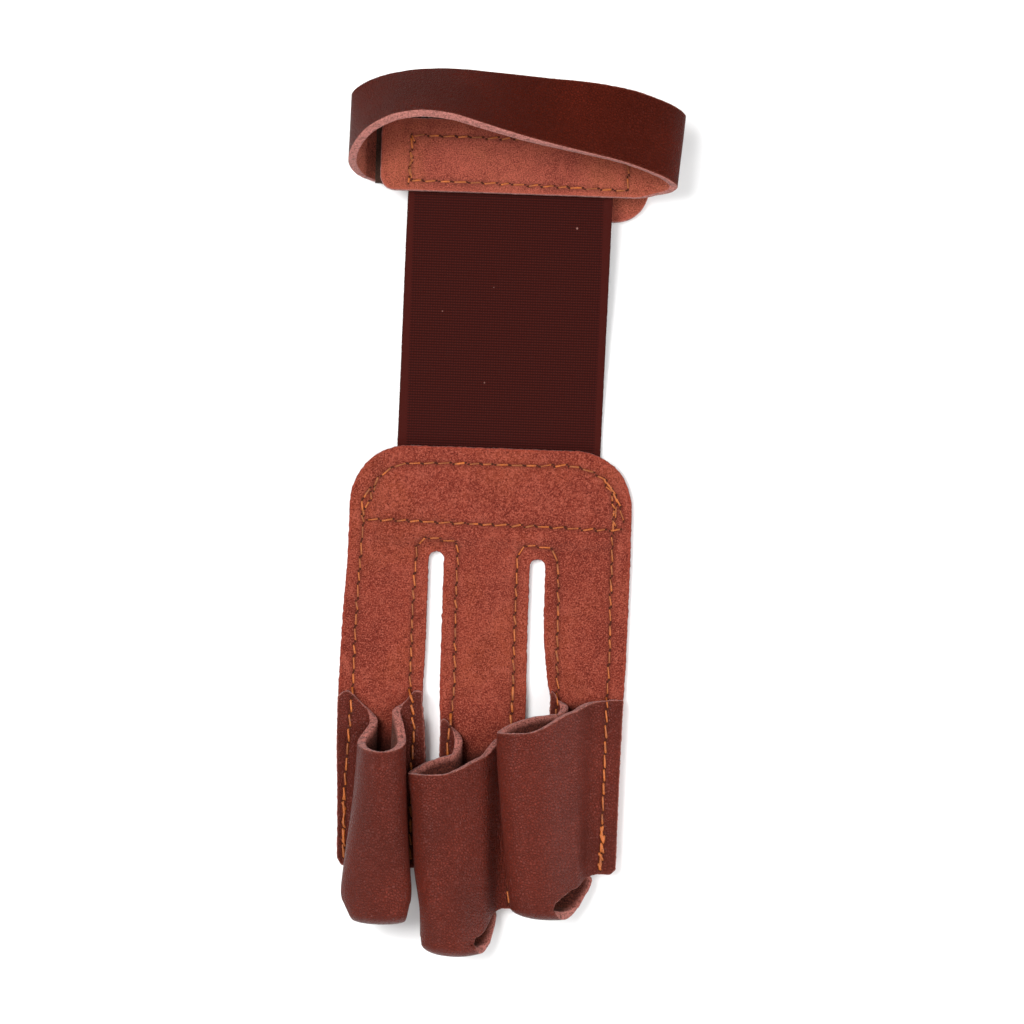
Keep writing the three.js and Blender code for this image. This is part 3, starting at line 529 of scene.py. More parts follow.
def closure_levels(sizes):
    """Middle heights of the layers of the closure, from the free end upwards."""
    strap = sizes.strap_leather / MM
    elastic = sizes.elastic_thickness / MM
    hook = strap + SEAT_GAP + HOOK_THICKNESS / 2
    loop = hook + HOOK_THICKNESS / 2 + SEAT_GAP + LOOP_THICKNESS / 2
    band = loop + LOOP_THICKNESS / 2 + SEAT_GAP + elastic / 2
    start = band + elastic / 2 + SEAT_GAP + strap / 2
    return {"free": strap / 2, "hook": hook, "loop": loop, "band": band, "start": start}


def elastic_sheet(sizes):
    """Middle surface of the elastic band, from the panel up to the strap."""
    level = closure_levels(sizes)["band"]
    thickness = sizes.elastic_thickness / MM
    strap_edge = PANEL_HEAD + ELASTIC_FREE_LENGTH
    ramp_end = strap_edge - ELASTIC_FREE_LENGTH / 12
    bottom = PANEL_HEAD - ELASTIC_TUCK
    top = strap_edge + ELASTIC_UNDER_STRAP
    rows = np.linspace(top, bottom, int(ROWS_TO_A_RIB * (top - bottom) / RIB_PITCH))
    columns = np.linspace(-ELASTIC_WIDTH / 2, ELASTIC_WIDTH / 2, ELASTIC_COLUMNS + 1)
    y, x = np.meshgrid(rows, columns, indexing="ij")
    z = lerp(thickness / 2, level, smoothstep(y, PANEL_HEAD, ramp_end))
    drift = ELASTIC_DRIFT * np.clip((y - PANEL_HEAD) / ELASTIC_FREE_LENGTH, 0, 1)
    points = np.stack([ELASTIC_OFFSET + x + drift, y, z], axis=-1).reshape(-1, 3)
    return points, grid_cells(len(rows), len(columns))


def patch_sheet(width, length, level, slant, middle):
    """Flat rectangular patch, turned about its middle."""
    ys = np.linspace(width / 2, -width / 2, int(width / TAPE_CELL) + 1)
    xs = np.linspace(-length / 2, length / 2, int(length / TAPE_CELL) + 1)
    y, x = np.meshgrid(ys, xs, indexing="ij")
    turn = math.radians(-slant)
    px = middle[0] + x * math.cos(turn) - y * math.sin(turn)
    py = middle[1] + x * math.sin(turn) + y * math.cos(turn)
    points = np.stack([px, py, np.full_like(px, level)], axis=-1).reshape(-1, 3)
    return points, grid_cells(len(ys), len(xs))


def catmull_rom(stations, u):
    """Points of the centripetal curve through the stations at each u, a share of it."""
    stations = np.asarray(stations, float)
    last = len(stations) - 1
    first_ghost = 2 * stations[0] - stations[1]
    last_ghost = 2 * stations[-1] - stations[-2]
    padded = np.vstack([first_ghost, stations, last_ghost])
    place = np.clip(np.asarray(u, float), 0, 1) * last
    i = np.minimum(place.astype(int), last - 1)
    t = (place - i)[..., None]
    p0, p1, p2, p3 = padded[i], padded[i + 1], padded[i + 2], padded[i + 3]
    d0, d1, d2 = (
        np.maximum(np.linalg.norm(b - a, axis=-1, keepdims=True) ** 0.5, 1e-4)
        for a, b in ((p0, p1), (p1, p2), (p2, p3))
    )
    t1 = (p1 - p0) / d0 - (p2 - p0) / (d0 + d1) + (p2 - p1) / d1
    t2 = (p2 - p1) / d1 - (p3 - p1) / (d1 + d2) + (p3 - p2) / d2
    return hermite(t, p1, t1 * d1, p2, t2 * d1)


def strap_stations(sizes):
    """The strap's middle line from its sewn end round the loop to its free end, with its lean and turn."""
    levels = closure_levels(sizes)
    stations = []
    for rows, level in ((STRAP_START, levels["start"]), (STRAP_ARCH, levels["free"])):
        for row in rows:
            stations.append((
                LOOP_OFFSET + row["across"] * LOOP_WIDTH / 2,
                STRAP_MIDDLE + row["along"] * STRAP_WIDTH,
                level + row["up"] * LOOP_HEIGHT,
                math.radians(row["lean"]),
                math.radians(row["turn"]),
            ))
    x, y, z, lean, turn = stations[-1]
    run = (FREE_END_ACROSS - STRAP_ARCH[-1]["across"]) * LOOP_WIDTH / 2
    for share in FREE_END_SHARES:
        stations.append((x + run * share, y - run * share * math.tan(turn), z, lean, turn))
    return np.array(stations)


def strap_sheet(sizes):
    """Middle surface of the wrist strap, a ribbon with a lean and turn along it."""
    stations = strap_stations(sizes)
    centres = stations[:, :3]
    last = len(stations) - 1
    across = np.sin(np.radians(np.linspace(-90, 90, STRAP_COLUMNS + 1)))
    start_length = np.linalg.norm(centres[1] - centres[0])
    end_length = np.linalg.norm(centres[-1] - centres[-2])

    def rounding(v, share, length):
        past = np.maximum(0, (np.abs(v) - (1 - 2 * share)) / (2 * share))
        return share * STRAP_WIDTH * (1 - np.sqrt(1 - past**2)) / length

    v, u = np.meshgrid(across, np.linspace(0, last, last * STRAP_STEPS + 1), indexing="ij")
    start = np.clip(1 - u, 0, None)
    end = np.clip(u - last + 1, 0, None)
    u = u + start * rounding(v, STRAP_START_ROUND, start_length)
    u = u - end * rounding(v, STRAP_FREE_ROUND, end_length)
    i = np.minimum(u.astype(int), last - 1)
    t = u - i
    lean = lerp(stations[i, 3], stations[i + 1, 3], t)
    turn = lerp(stations[i, 4], stations[i + 1, 4], t)
    rim = np.stack([np.sin(turn) * np.cos(lean), np.cos(turn) * np.cos(lean), -np.sin(lean)], axis=-1)
    points = catmull_rom(centres, u / last) + rim * (v * STRAP_WIDTH / 2)[..., None]
    return points.reshape(-1, 3), grid_cells(*u.shape)


def fold(start, heading, end, leaving, cells):
    """A leather fold between two points with their headings, as a smooth curve."""
    start, end = np.array(start), np.array(end)
    into = np.array([math.cos(heading), math.sin(heading)])
    out = np.array([math.cos(leaving), math.sin(leaving)])
    chord = end - start
    a, b = abs(chord @ into), abs(chord @ out)
    corner = FOLD_ROUNDNESS * min(a, b)
    turned = min(1, abs(heading - leaving) / (math.pi / 2))
    gentle = np.linalg.norm(chord) / 3
    near = start + into * lerp(gentle, a - corner, turned)
    far = end - out * lerp(gentle, b - corner, turned)
    t = np.linspace(0, 1, cells + 1)[:, None]
    return (1 - t) ** 3 * start + 3 * (1 - t) ** 2 * t * near + 3 * (1 - t) * t**2 * far + t**3 * end


def stall_y(stall, at):
    return -stall["strip"]["length"] + stall["length"] * (1 - at)


def stall_section(stall, at):
    """Section of a stall across the strip, from its left edge to its right edge."""
    strip, height = stall["strip"], stall["height"]
    row = read_table(stall["sections"], "at", at)
    edge_l, edge_r = strip_edges(strip, stall_y(stall, at))

    def place(across, up):
        return np.array([strip["centre"] + row[across] * strip["width"], row[up] * height])

    def bend(neck, side, turn, radius):
        angle = np.linspace(0, math.radians(row[turn]), BEND_CELLS * REFINE + 1)
        x = strip["centre"] + row[neck] * strip["width"] + side * radius * np.sin(angle)
        return np.stack([x, radius * (1 - np.cos(angle))], axis=1)

    bend_l = bend("neckL", 1, "turnL", NECK_RADIUS)
    bend_r = bend("neckR", -1, "turnR", stall["flare"])[::-1]
    side_l, crest, side_r = place("sideL", "upL"), place("crest", "top"), place("sideR", "upR")
    up = math.pi / 2
    heading_r = -math.radians(row["slopeR"])
    flange_l = np.linspace((edge_l, 0), (bend_l[0][0], 0), FLANGE_CELLS[0] * REFINE + 1)
    flange_r = np.linspace((bend_r[-1][0], 0), (edge_r, 0), FLANGE_CELLS[1] * REFINE + 1)
    turns = (
        (bend_l[-1], math.radians(row["turnL"])),
        (side_l, up),
        (crest, 0),
        (side_r, heading_r),
        (bend_r[0], -math.radians(row["turnR"])),
    )
    folds = [fold(*a, *b, cells * REFINE)[1:] for a, b, cells in zip(turns, turns[1:], FOLD_CELLS)]
    return np.concatenate([flange_l, bend_l[1:], *folds, bend_r[1:], flange_r[1:]])


def stall_sheet(stall, sizes):
    """Middle surface of a stall and of the tongue that folds round its tip."""
    level = (sizes.panel_leather + sizes.stall_leather / 2) / MM + SEAT_GAP
    marks = np.concatenate([[0], np.cumsum(CELLS)])
    table = [{"column": m, "mouth": a, "tip": b} for m, a, b in zip(marks, stall["mouth"], stall["tip"])]
    count = int(marks[-1]) * REFINE + 1
    ends = [read_table(table, "column", c / REFINE) for c in range(count)]
    mouth = np.array([e["mouth"] for e in ends])
    tip = np.array([e["tip"] for e in ends])
    first, last = (c * REFINE for c in stall["tongue_columns"])
    tongue = slice(first, last + 1)
    tip[tongue] = stall["tongue"][0]["at"]
    stations = np.linspace(0, SECTION_REACH, SECTION_STEPS + 1)
    sections = np.array([stall_section(stall, at) for at in stations])
    columns = np.arange(count)

    def point(at, c):
        place = np.clip(at / stations[-1], 0, 1) * (len(stations) - 1)
        i = np.minimum(place.astype(int), len(stations) - 2)
        p = lerp(sections[i, c], sections[i + 1, c], (place - i)[..., None])
        return np.stack([p[..., 0], stall_y(stall, at), level + p[..., 1]], axis=-1)

    share = np.linspace(0, 1, STALL_ROWS + 1)[:, None]
    at = lerp(mouth[None, :], tip[None, :], share)
    body = point(at, np.broadcast_to(columns, at.shape))
    width = last - first + 1
    across = np.linspace(-1, 1, width)
    keys = np.array([[row["at"], row["centre"], row["half"], row["up"]] for row in stall["tongue"]])
    path = catmull_rom(keys, np.linspace(0, 1, TONGUE_POINTS))
    strip = stall["strip"]

    def tongue_row(at, centre, half, up):
        x = strip["centre"] + (centre + across * half) * strip["width"]
        z = level + up * stall["height"]
        return np.stack([x, np.full(width, stall_y(stall, at)), np.full(width, z)], axis=-1)

    start, end = body[-1, tongue], tongue_row(*path[0])
    bend = []
    tallest = stall["height"] * (1 - stall["tongue"][0]["up"])
    for t in np.linspace(0, 1, TIP_POINTS):
        p = lerp(start, end, (1 - math.cos(math.pi * t)) / 2)
        p[:, 0] = lerp(start[:, 0], end[:, 0], t)
        reach = stall["tip_round"] * stall["height"] * (start[:, 2] - end[:, 2]) / tallest
        p[:, 1] -= reach * math.sin(math.pi * t)
        bend.append(p)
    flap = np.array(bend + [tongue_row(*row) for row in path[1:]])
    points = np.concatenate([body.reshape(-1, 3), flap.reshape(-1, 3)])
    tongue_cells = grid_cells(len(flap), width, body.shape[0] * count)
    return points, np.concatenate([grid_cells(STALL_ROWS + 1, count), tongue_cells])


def weld(points, cells):
    """Joins points that fall together and renumbers the cells."""
    keys = np.round(points * 1e4).astype(np.int64)
    _, first, index = np.unique(keys, axis=0, return_index=True, return_inverse=True)
    order = np.argsort(first)
    rank = np.empty_like(order)
    rank[order] = np.arange(len(order))
    return points[first[order]], rank[index.ravel()][cells]


def distance_to_lines(xy, lines):
    """Distance of each point to the nearest of the lines of corners."""
    best = np.full(len(xy), 1e9)
    for line in lines:
        corners = np.array(line, float)
        for a, b in zip(corners[:-1], corners[1:]):
            d = b - a
            t = np.clip(((xy - a) @ d) / (d @ d), 0, 1)[:, None]
            best = np.minimum(best, np.linalg.norm(xy - a - t * d, axis=1))
    return best


def fuzz(points, scale, seed):
    """Smooth noise from -1 to 1 at each point, the same on each run."""
    shift = Vector((seed * 7.31, seed * 3.17, seed * 1.73))
    return np.array([noise.noise(Vector(p) * scale + shift) for p in points])


def sheet_mesh(name, sheet, thickness, sides, relief, bulge, rim_fray, seed, seams=(), seam_top=1e9):
    """Closed piece of a sheet: its outer side, its inner side and a rounded cut edge.

    sides are the materials of the outer side, the inner side and the cut edge. relief gives
    how far the two sides move out, bulge and rim_fray how far the cut edge does, in millimetres.
    """
    points, cells = weld(*sheet)
    corner = points[cells]
    normal = np.cross(corner[:, 2] - corner[:, 0], corner[:, 3] - corner[:, 1])
    normals = np.zeros_like(points)
    for k in range(4):
        np.add.at(normals, cells[:, k], normal)
    normals /= np.maximum(np.linalg.norm(normals, axis=1, keepdims=True), 1e-12)
    directed = np.concatenate([cells[:, [k, (k + 1) % 4]] for k in range(4)])
    forward = {tuple(edge) for edge in directed.tolist()}
    rim_edges = sorted(edge for edge in forward if edge[::-1] not in forward and edge[0] != edge[1])
    outward = np.zeros_like(points)
    for i, j in rim_edges:
        push = np.cross(points[j] - points[i], normals[i] + normals[j])
        outward[i] += push
        outward[j] += push
    rim = np.array(sorted({i for edge in rim_edges for i in edge}))
    outward[rim] /= np.maximum(np.linalg.norm(outward[rim], axis=1, keepdims=True), 1e-12)
    out, under = relief(points)
    outer = points + normals * (thickness / 2 + out)[:, None]
    inner = points - normals * (thickness / 2 + under)[:, None]
    verts = [outer, inner]
    count = len(points)
    fray = rim_fray * fuzz(points[rim], 0.9, seed) + rim_fray * 0.6 * fuzz(points[rim], 2.6, seed + 4)
    for k in range(1, RIM_RINGS):
        turn = math.pi * k / RIM_RINGS
        high = math.copysign(abs(math.cos(turn)) ** 0.75, math.cos(turn))
        ring = lerp(inner[rim], outer[rim], (high + 1) / 2)
        crumb = rim_fray * 0.9 * fuzz(ring, 2.3, seed + 7)
        verts.append(ring + outward[rim] * ((bulge + fray + crumb) * math.sin(turn) ** 0.8)[:, None])
    slots = {i: n for n, i in enumerate(rim.tolist())}
    starts = [2 * count + k * len(rim) for k in range(RIM_RINGS - 1)]

    def chain(i):
        """The points round the cut edge from the outer side to the inner one."""
        return [i] + [start + slots[i] for start in starts] + [i + count]

    rim_faces = [
        (j0, i0, i1, j1)
        for i, j in rim_edges
        for i0, i1, j0, j1 in zip(chain(i), chain(i)[1:], chain(j), chain(j)[1:])
    ]
    faces, kinds = [], []
    for kind, group in enumerate((cells.tolist(), (cells[:, ::-1] + count).tolist(), rim_faces)):
        for face in group:
            loop = list(dict.fromkeys(face))
            if len(loop) > 2:
                faces.append(loop)
                kinds.append(kind)
    mesh = bpy.data.meshes.new(name)
    mesh.from_pydata((np.concatenate(verts) * MM).tolist(), [], faces)
    mesh.polygons.foreach_set("material_index", kinds)
    mesh.polygons.foreach_set("use_smooth", [True] * len(faces))
    for material in sides:
        mesh.materials.append(material)
    flat = np.concatenate([points, points, *[points[rim]] * (RIM_RINGS - 1)])
    near_seam = np.minimum(distance_to_lines(flat[:, :2], seams), FURTHEST)
    add_measure(mesh, "edge_mm", rim_distance(flat, points[rim]))
    # seam_mm drives painted shade: the leather is darkened along its seams, where the pucker holds shade.
    add_measure(mesh, "seam_mm", np.where(flat[:, 2] < seam_top, near_seam, FURTHEST))
    mesh.validate()
    mesh.update()
    return mesh


def add_measure(mesh, name, values):
    mesh.attributes.new(name, "FLOAT", "POINT").data.foreach_set("value", values)


def rim_distance(points, rim):
    """Distance of each point to the nearest point of the cut edge."""
    tree = KDTree(len(rim))
    for i, p in enumerate(rim):
        tree.insert(p, i)
    tree.balance()
    return np.array([min(tree.find(p)[2], FURTHEST) for p in points])


def add_piece(name, mesh, slot, *nodes):
    """Puts a piece in the scene, riding on the glove's one body."""
    piece = bpy.data.objects.new(name, mesh)
    bpy.context.scene.collection.objects.link(piece)
    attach(piece, "root")
    if nodes:
        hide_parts(*nodes)
    return piece


def node(tree, kind, inputs=None, **settings):
    """A shader node with its settings, its plain values and its links."""
    made = tree.nodes.new(kind)
    for name, value in settings.items():
        setattr(made, name, value)
    feed(tree, made.inputs, inputs or {})
    return made


def feed(tree, sockets, values):
    """Gives each named socket its link or its plain value."""
    for name, value in values.items():
        if isinstance(value, bpy.types.NodeSocket):
            tree.links.new(value, sockets[name])
        else:
            sockets[name].default_value = value


def maths(tree, operation, a, b=0.0):
    return node(tree, "ShaderNodeMath", {0: a, 1: b}, operation=operation).outputs[0]


def weighted(tree, a, share_a, b, share_b):
    """The sum of two values, each times its share."""
    return maths(tree, "ADD", maths(tree, "MULTIPLY", a, share_a), maths(tree, "MULTIPLY", b, share_b))


def between(tree, value, low, high, to_low=0.0, to_high=1.0):
    """The value carried smoothly from one range to another."""
    ranges = {"Value": value, "From Min": low, "From Max": high, "To Min": to_low, "To Max": to_high}
    return node(tree, "ShaderNodeMapRange", ranges, interpolation_type="SMOOTHSTEP").outputs[0]


def blend(tree, factor, a, b):
    return node(tree, "ShaderNodeMix", {0: factor, 6: a, 7: b}, data_type="RGBA").outputs[2]


def layered(tree, tone, *layers):
    """Colours laid over a tone, each through a value carried from one range to another."""
    for value, low, high, to_low, to_high, colour in layers:
        tone = blend(tree, between(tree, value, low, high, to_low, to_high), tone, colour)
    return tone


def speckle(tree, place, scale, detail=2.0, rough=0.5, distortion=0.0):
    inputs = {"Vector": place, "Scale": scale, "Detail": detail, "Roughness": rough, "Distortion": distortion}
    return node(tree, "ShaderNodeTexNoise", inputs).outputs["Fac"]


def cells_in(tree, place, scale, randomness, **settings):
    inputs = {"Vector": place, "Scale": scale, "Randomness": randomness}
    return node(tree, "ShaderNodeTexVoronoi", inputs, **settings).outputs["Distance"]


def millimetres(tree, stretch=(1, 1, 1)):
    """Object coordinates in millimetres, stretched along each axis."""
    where = node(tree, "ShaderNodeTexCoord").outputs["Object"]
    scaled = {0: where, 1: tuple(s / MM for s in stretch)}
    return node(tree, "ShaderNodeVectorMath", scaled, operation="MULTIPLY").outputs[0]


def new_group(name, tones, values=None, outputs="Roughness Height"):
    """An empty shader group: colours and values with a default go in, a colour and values out."""
    group = bpy.data.node_groups.new(name, "ShaderNodeTree")
    add = group.interface.new_socket
    for label in tones.split():
        add(name=label, in_out="INPUT", socket_type="NodeSocketColor")
    for label, default in (values or {}).items():
        add(name=label, in_out="INPUT", socket_type="NodeSocketFloat").default_value = default
    if tones:
        add(name="Color", in_out="OUTPUT", socket_type="NodeSocketColor")
    for label in outputs.split():
        add(name=label, in_out="OUTPUT", socket_type="NodeSocketFloat")
    return group, group.nodes.new("NodeGroupInput").outputs, group.nodes.new("NodeGroupOutput").inputs


def pebble_grain():
    """Smooth leather: fine pebbles, pores, slow changes of tone, and pale flecks on the pebbles in patches as
    painted highlight glints.
    """
    tree, given, out = new_group("Pebble grain", "Color Deep Worn")
    place = millimetres(tree)
    crease = cells_in(tree, place, 1.5, 1.0, feature="DISTANCE_TO_EDGE")
    slow = speckle(tree, place, 0.05, 3)
    fine = speckle(tree, place, 1.9, 3, 0.65)
    # Pale flecks on the pebbles, in slow patches: painted highlight glints, a lighter tone standing in for
    # light catching the grain.
    gloss = between(tree, slow, 0.42, 0.6, 0.12, 0.42)
    shiny = maths(tree, "MULTIPLY", between(tree, fine, 0.5, 0.66), gloss)
    tone = layered(tree, given["Deep"], (slow, 0.3, 0.7, 0.25, 1, given["Color"]))
    tone = layered(tree, blend(tree, shiny, tone, given["Worn"]), (crease, 0, 0.13, 0.6, 0, given["Deep"]))
    dull = between(tree, crease, 0, 0.1, 0.1, 0)
    rough = maths(tree, "ADD", between(tree, fine, 0.3, 0.7, 0.36, 0.46), dull)
    height = weighted(tree, between(tree, crease, 0.0, 0.22), 0.55, fine, 0.45)
    feed(tree, out, {"Color": tone, "Roughness": rough, "Height": height})
    return tree


def suede_nap():
    """Suede: short fibres with dark pits between them, brushed in slow patches."""
    tree, given, out = new_group("Suede nap", "Color Deep Light Warm", {"Nap": 1.0})
    place = millimetres(tree)
    wide = speckle(tree, place, 0.034, 3, 0.5, 0.8)
    patch = speckle(tree, place, 0.09, 4, 0.6, 0.6)
    brush = speckle(tree, millimetres(tree, (0.26, 0.2, 0.26)), 1.0, 4, 0.6, 0.9)
    clump = speckle(tree, place, maths(tree, "MULTIPLY", given["Nap"], 0.9), 4, 0.65)
    fibre = speckle(tree, place, maths(tree, "MULTIPLY", given["Nap"], 2.9), 3, 0.7)
    tone = layered(
        tree, given["Color"],
        (wide, 0.46, 0.6, 0, 1, given["Warm"]),
        (wide, 0.36, 0.48, 0.3, 0, given["Deep"]),
        (patch, 0.4, 0.66, 0, 0.36, given["Deep"]),
        (brush, 0.48, 0.7, 0, 0.42, given["Light"]),
        (brush, 0.32, 0.46, 0.3, 0, given["Deep"]),
        (clump, 0.34, 0.52, 0.3, 0, given["Deep"]),
        (fibre, 0.49, 0.64, 0, 1, given["Light"]),
        (fibre, 0.35, 0.49, 0.95, 0, given["Deep"]),
    )
    rough = between(tree, fibre, 0.3, 0.7, 0.9, 1.0)
    feed(tree, out, {"Color": tone, "Roughness": rough, "Height": weighted(tree, clump, 0.5, fibre, 0.6)})
    return tree


def cut_fibres():
    """The cut edge of leather: pale, crumbly fibres with dark pits."""
    tree, given, out = new_group("Cut fibres", "Color Pit Light")
    place = millimetres(tree)
    clump = speckle(tree, place, 1.4, 4, 0.7, 0.5)
    crumb = speckle(tree, place, 2.8, 3, 0.7, 0.4)
    tone = layered(
        tree, given["Color"],
        (clump, 0.36, 0.56, 0.85, 0, given["Pit"]),
        (crumb, 0.32, 0.5, 0.85, 0, given["Pit"]),
        (crumb, 0.54, 0.68, 0, 0.8, given["Light"]),
    )
    rough = between(tree, crumb, 0.3, 0.7, 0.9, 1.0)
    feed(tree, out, {"Color": tone, "Roughness": rough, "Height": weighted(tree, clump, 0.7, crumb, 0.6)})
    return tree


def rib_weave():
    """Woven elastic: ribs across, wales along, smooth selvedges and a few specks of lint."""
    tree, given, out = new_group("Rib weave", "Color Deep Selvedge")
    place = node(tree, "ShaderNodeSeparateXYZ", {0: millimetres(tree)}).outputs
    rib = maths(tree, "SINE", maths(tree, "MULTIPLY", place["Y"], 2 * math.pi / RIB_PITCH))
    wale = maths(tree, "SINE", maths(tree, "MULTIPLY", place["X"], 2 * math.pi / WALE_PITCH))
    check = maths(tree, "MULTIPLY", maths(tree, "ADD", rib, 1.0), maths(tree, "ADD", wale, 2.2))
    check = maths(tree, "MULTIPLY", check, 0.16)
    fuzzy = speckle(tree, millimetres(tree), 2.2, 3, 0.7)
    flat = maths(tree, "ABSOLUTE", maths(tree, "SUBTRACT", place["X"], ELASTIC_OFFSET + ELASTIC_DRIFT / 2))
    border = between(tree, flat, ELASTIC_WIDTH / 2 - 1.9, ELASTIC_WIDTH / 2 - 1.5)
    lint = cells_in(tree, millimetres(tree), 0.13, 1.0)
    tone = layered(
        tree, given["Deep"],
        (check, 0.1, 0.8, 0, 1, given["Color"]),
        (fuzzy, 0.62, 0.82, 0, 0.12, (0.13, 0.04, 0.035, 1)),
        (lint, 0.02, 0.045, 0.8, 0, (0.24, 0.12, 0.1, 1)),
    )
    tone = blend(tree, border, tone, given["Selvedge"])
    rough = between(tree, fuzzy, 0.3, 0.7, 0.78, 0.95)
    soft = maths(tree, "MULTIPLY", check, maths(tree, "SUBTRACT", 1.0, maths(tree, "MULTIPLY", border, 0.7)))
    height = maths(tree, "ADD", soft, maths(tree, "MULTIPLY", fuzzy, 0.25))
    feed(tree, out, {"Color": tone, "Roughness": rough, "Height": height})
    return tree


def tape_pile():
    """Hook-and-loop tape: a dense dark pile of tiny loops or hooks."""
    tree, given, out = new_group("Tape pile", "Color Tip")
    place = millimetres(tree)
    hair = speckle(tree, place, 5, 2, 0.6, 1.5)
    tone = layered(tree, given["Color"], (hair, 0.5, 0.75, 0, 1, given["Tip"]))
    rough = between(tree, hair, 0.3, 0.7, 0.8, 1.0)
    height = maths(tree, "SUBTRACT", hair, cells_in(tree, place, 1.6, 0.8))
    feed(tree, out, {"Color": tone, "Roughness": rough, "Height": height})
    return tree


def near_edge():
    """Masks from a sheet's own measures: near its cut edge for the rubbed edge, and near a seam or inside a
    stall for painted shade.
    """
    tree, given, out = new_group("Near edge", "", {"Reach": 1.2}, "Edge Seam Inside")
    edge, seam, inside = (
        node(tree, "ShaderNodeAttribute", attribute_name=name).outputs["Fac"]
        for name in ("edge_mm", "seam_mm", "inside")
    )
    ragged = maths(tree, "MULTIPLY", speckle(tree, millimetres(tree), 1.3, 3, 0.6), 1.2)
    fibres = between(tree, speckle(tree, millimetres(tree), 2.6, 3, 0.7), 0.4, 0.56, 0.25, 1)
    from_rim = maths(tree, "ADD", edge, maths(tree, "SUBTRACT", ragged, 0.6))
    worn = maths(tree, "DIVIDE", from_rim, given["Reach"])
    frayed = maths(tree, "MULTIPLY", between(tree, worn, 0.1, 1, 1, 0), fibres)
    feed(tree, out, {"Edge": frayed, "Seam": between(tree, seam, 0.2, 1.3, 1, 0), "Inside": inside})
    return tree


def new_material(name):
    """A new material, its nodes and the inputs of its surface."""
    material = bpy.data.materials.new(name)
    material.use_nodes = True
    tree = material.node_tree
    return material, tree, tree.nodes["Principled BSDF"].inputs


def relief_of(tree, height, depth):
    return node(tree, "ShaderNodeBump", {"Height": height, "Distance": depth * MM}).outputs["Normal"]


def group_named(name, make):
    return bpy.data.node_groups.get(name) or make()


def finish_material(name, group, inputs, depth, reach=0, wear_and_shade=(), **shader):
    """A material from one finish group, with relief of a depth in millimetres.

    The tones laid over it, each by its share of a mask, are real rubbing along the cut edge and painted shade
    along the seams and inside the stalls;
    reach is how far the rubbed band along the cut edge goes.
    """
    material, tree, surface = new_material(name)
    finish = node(tree, "ShaderNodeGroup", inputs, node_tree=group).outputs
    tone = finish["Color"]
    # Lays the rubbed edge tone and the painted shade tones over the finish.
    if wear_and_shade:
        rim = group_named("Near edge", near_edge)
        masks = node(tree, "ShaderNodeGroup", {"Reach": reach}, node_tree=rim).outputs
        for mask, share, over in wear_and_shade:
            tone = blend(tree, maths(tree, "MULTIPLY", masks[mask], share), tone, over)
    feed(tree, surface, {label.replace("_", " "): value for label, value in shader.items()})
    normal = relief_of(tree, finish["Height"], depth)
    feed(tree, surface, {"Base Color": tone, "Roughness": finish["Roughness"], "Normal": normal})
    return material


def shade(colour, factor):
    return tuple(c * factor for c in colour[:3]) + (1,)


def rich(colour, factor):
    """A darker and more saturated red."""
    return (colour[0] * factor, colour[1] * factor**1.7, colour[2] * factor**1.7, 1)


def tint(colour):
    return tuple(colour[:3]) + (1,)


def colours():
    return bpy.context.scene.glove_colours


def smooth_leather(name, colour, shine):
    """Leather's grain side in one colour, rubbed paler along its edges, with painted glint flecks on its
    pebbles and painted shade along its seams.
    """
    return finish_material(
        name, group_named("Pebble grain", pebble_grain),
        {"Color": tint(colour), "Deep": shade(colour, 0.68), "Worn": shade(colour, 2.2)},
        depth=0.46, reach=0.45,
        # The seam tone is painted shade along the puckered seams. The pale edge tone is real rubbing.
        wear_and_shade=(("Seam", 0.4, shade(colour, 0.45)), ("Edge", 0.55, tint(colours().grain_light))),
        Specular_IOR_Level=shine,
    )


def napped(name, colour, light, nap, sheen=0.15, edge=None, reach=0.8, share=0.55):
    """Suede of one colour, darker in its pits and paler on its raised fibres, with painted shade along its
    seams and under the stalls.
    """
    warm = (1.08 * colour[0], 1.22 * colour[1], 1.0 * colour[2])
    tones = {"Color": tint(colour), "Deep": rich(colour, 0.36), "Light": light, "Warm": tint(warm)}
    wear_and_shade = (
        # Seam tone: painted shade along the seams.
        ("Seam", 0.4, shade(colour, 0.35)),
        ("Edge", share, tint(edge or shade(colour, 1.25))),
        # Inside tone: painted shade in the hollows under the stalls.
        ("Inside", 0.9, shade(colour, 0.14)),
    )
    return finish_material(
        name, group_named("Suede nap", suede_nap), {**tones, "Nap": nap}, depth=0.6, reach=reach, wear_and_shade=wear_and_shade,
        Specular_IOR_Level=0.12, Sheen_Weight=sheen, Sheen_Roughness=0.5, Sheen_Tint=(1, 0.62, 0.5, 1),
    )


# The stalls' napped inside, darkened far below the panel's suede as painted shade of their hollows, with real
# pale cut fibres near its edges.
def shaded_stall_lining(name):
    c = colours()
    light = shade(c.shaded_stall_suede, 1.9)
    return napped(name, c.shaded_stall_suede, light, 0.9, sheen=0.1, edge=c.stall_edge, reach=1.9, share=0.95)


def crumbly(name, colour, pit=0.35):
    """Cut leather of one colour, with darker pits."""
    tones = {"Color": tint(colour), "Pit": shade(colour, pit), "Light": shade(colour, 1.5)}
    group = group_named("Cut fibres", cut_fibres)
    return finish_material(name, group, tones, depth=0.25, Specular_IOR_Level=0.12, Sheen_Weight=0.1)


def elastic_weave(name):
    colour = colours().elastic
    tones = {"Color": shade(colour, 1.25), "Deep": shade(colour, 0.52), "Selvedge": shade(colour, 1.05)}
    group = group_named("Rib weave", rib_weave)
    return finish_material(name, group, tones, depth=0.09, Specular_IOR_Level=0.08, Sheen_Weight=0.0)


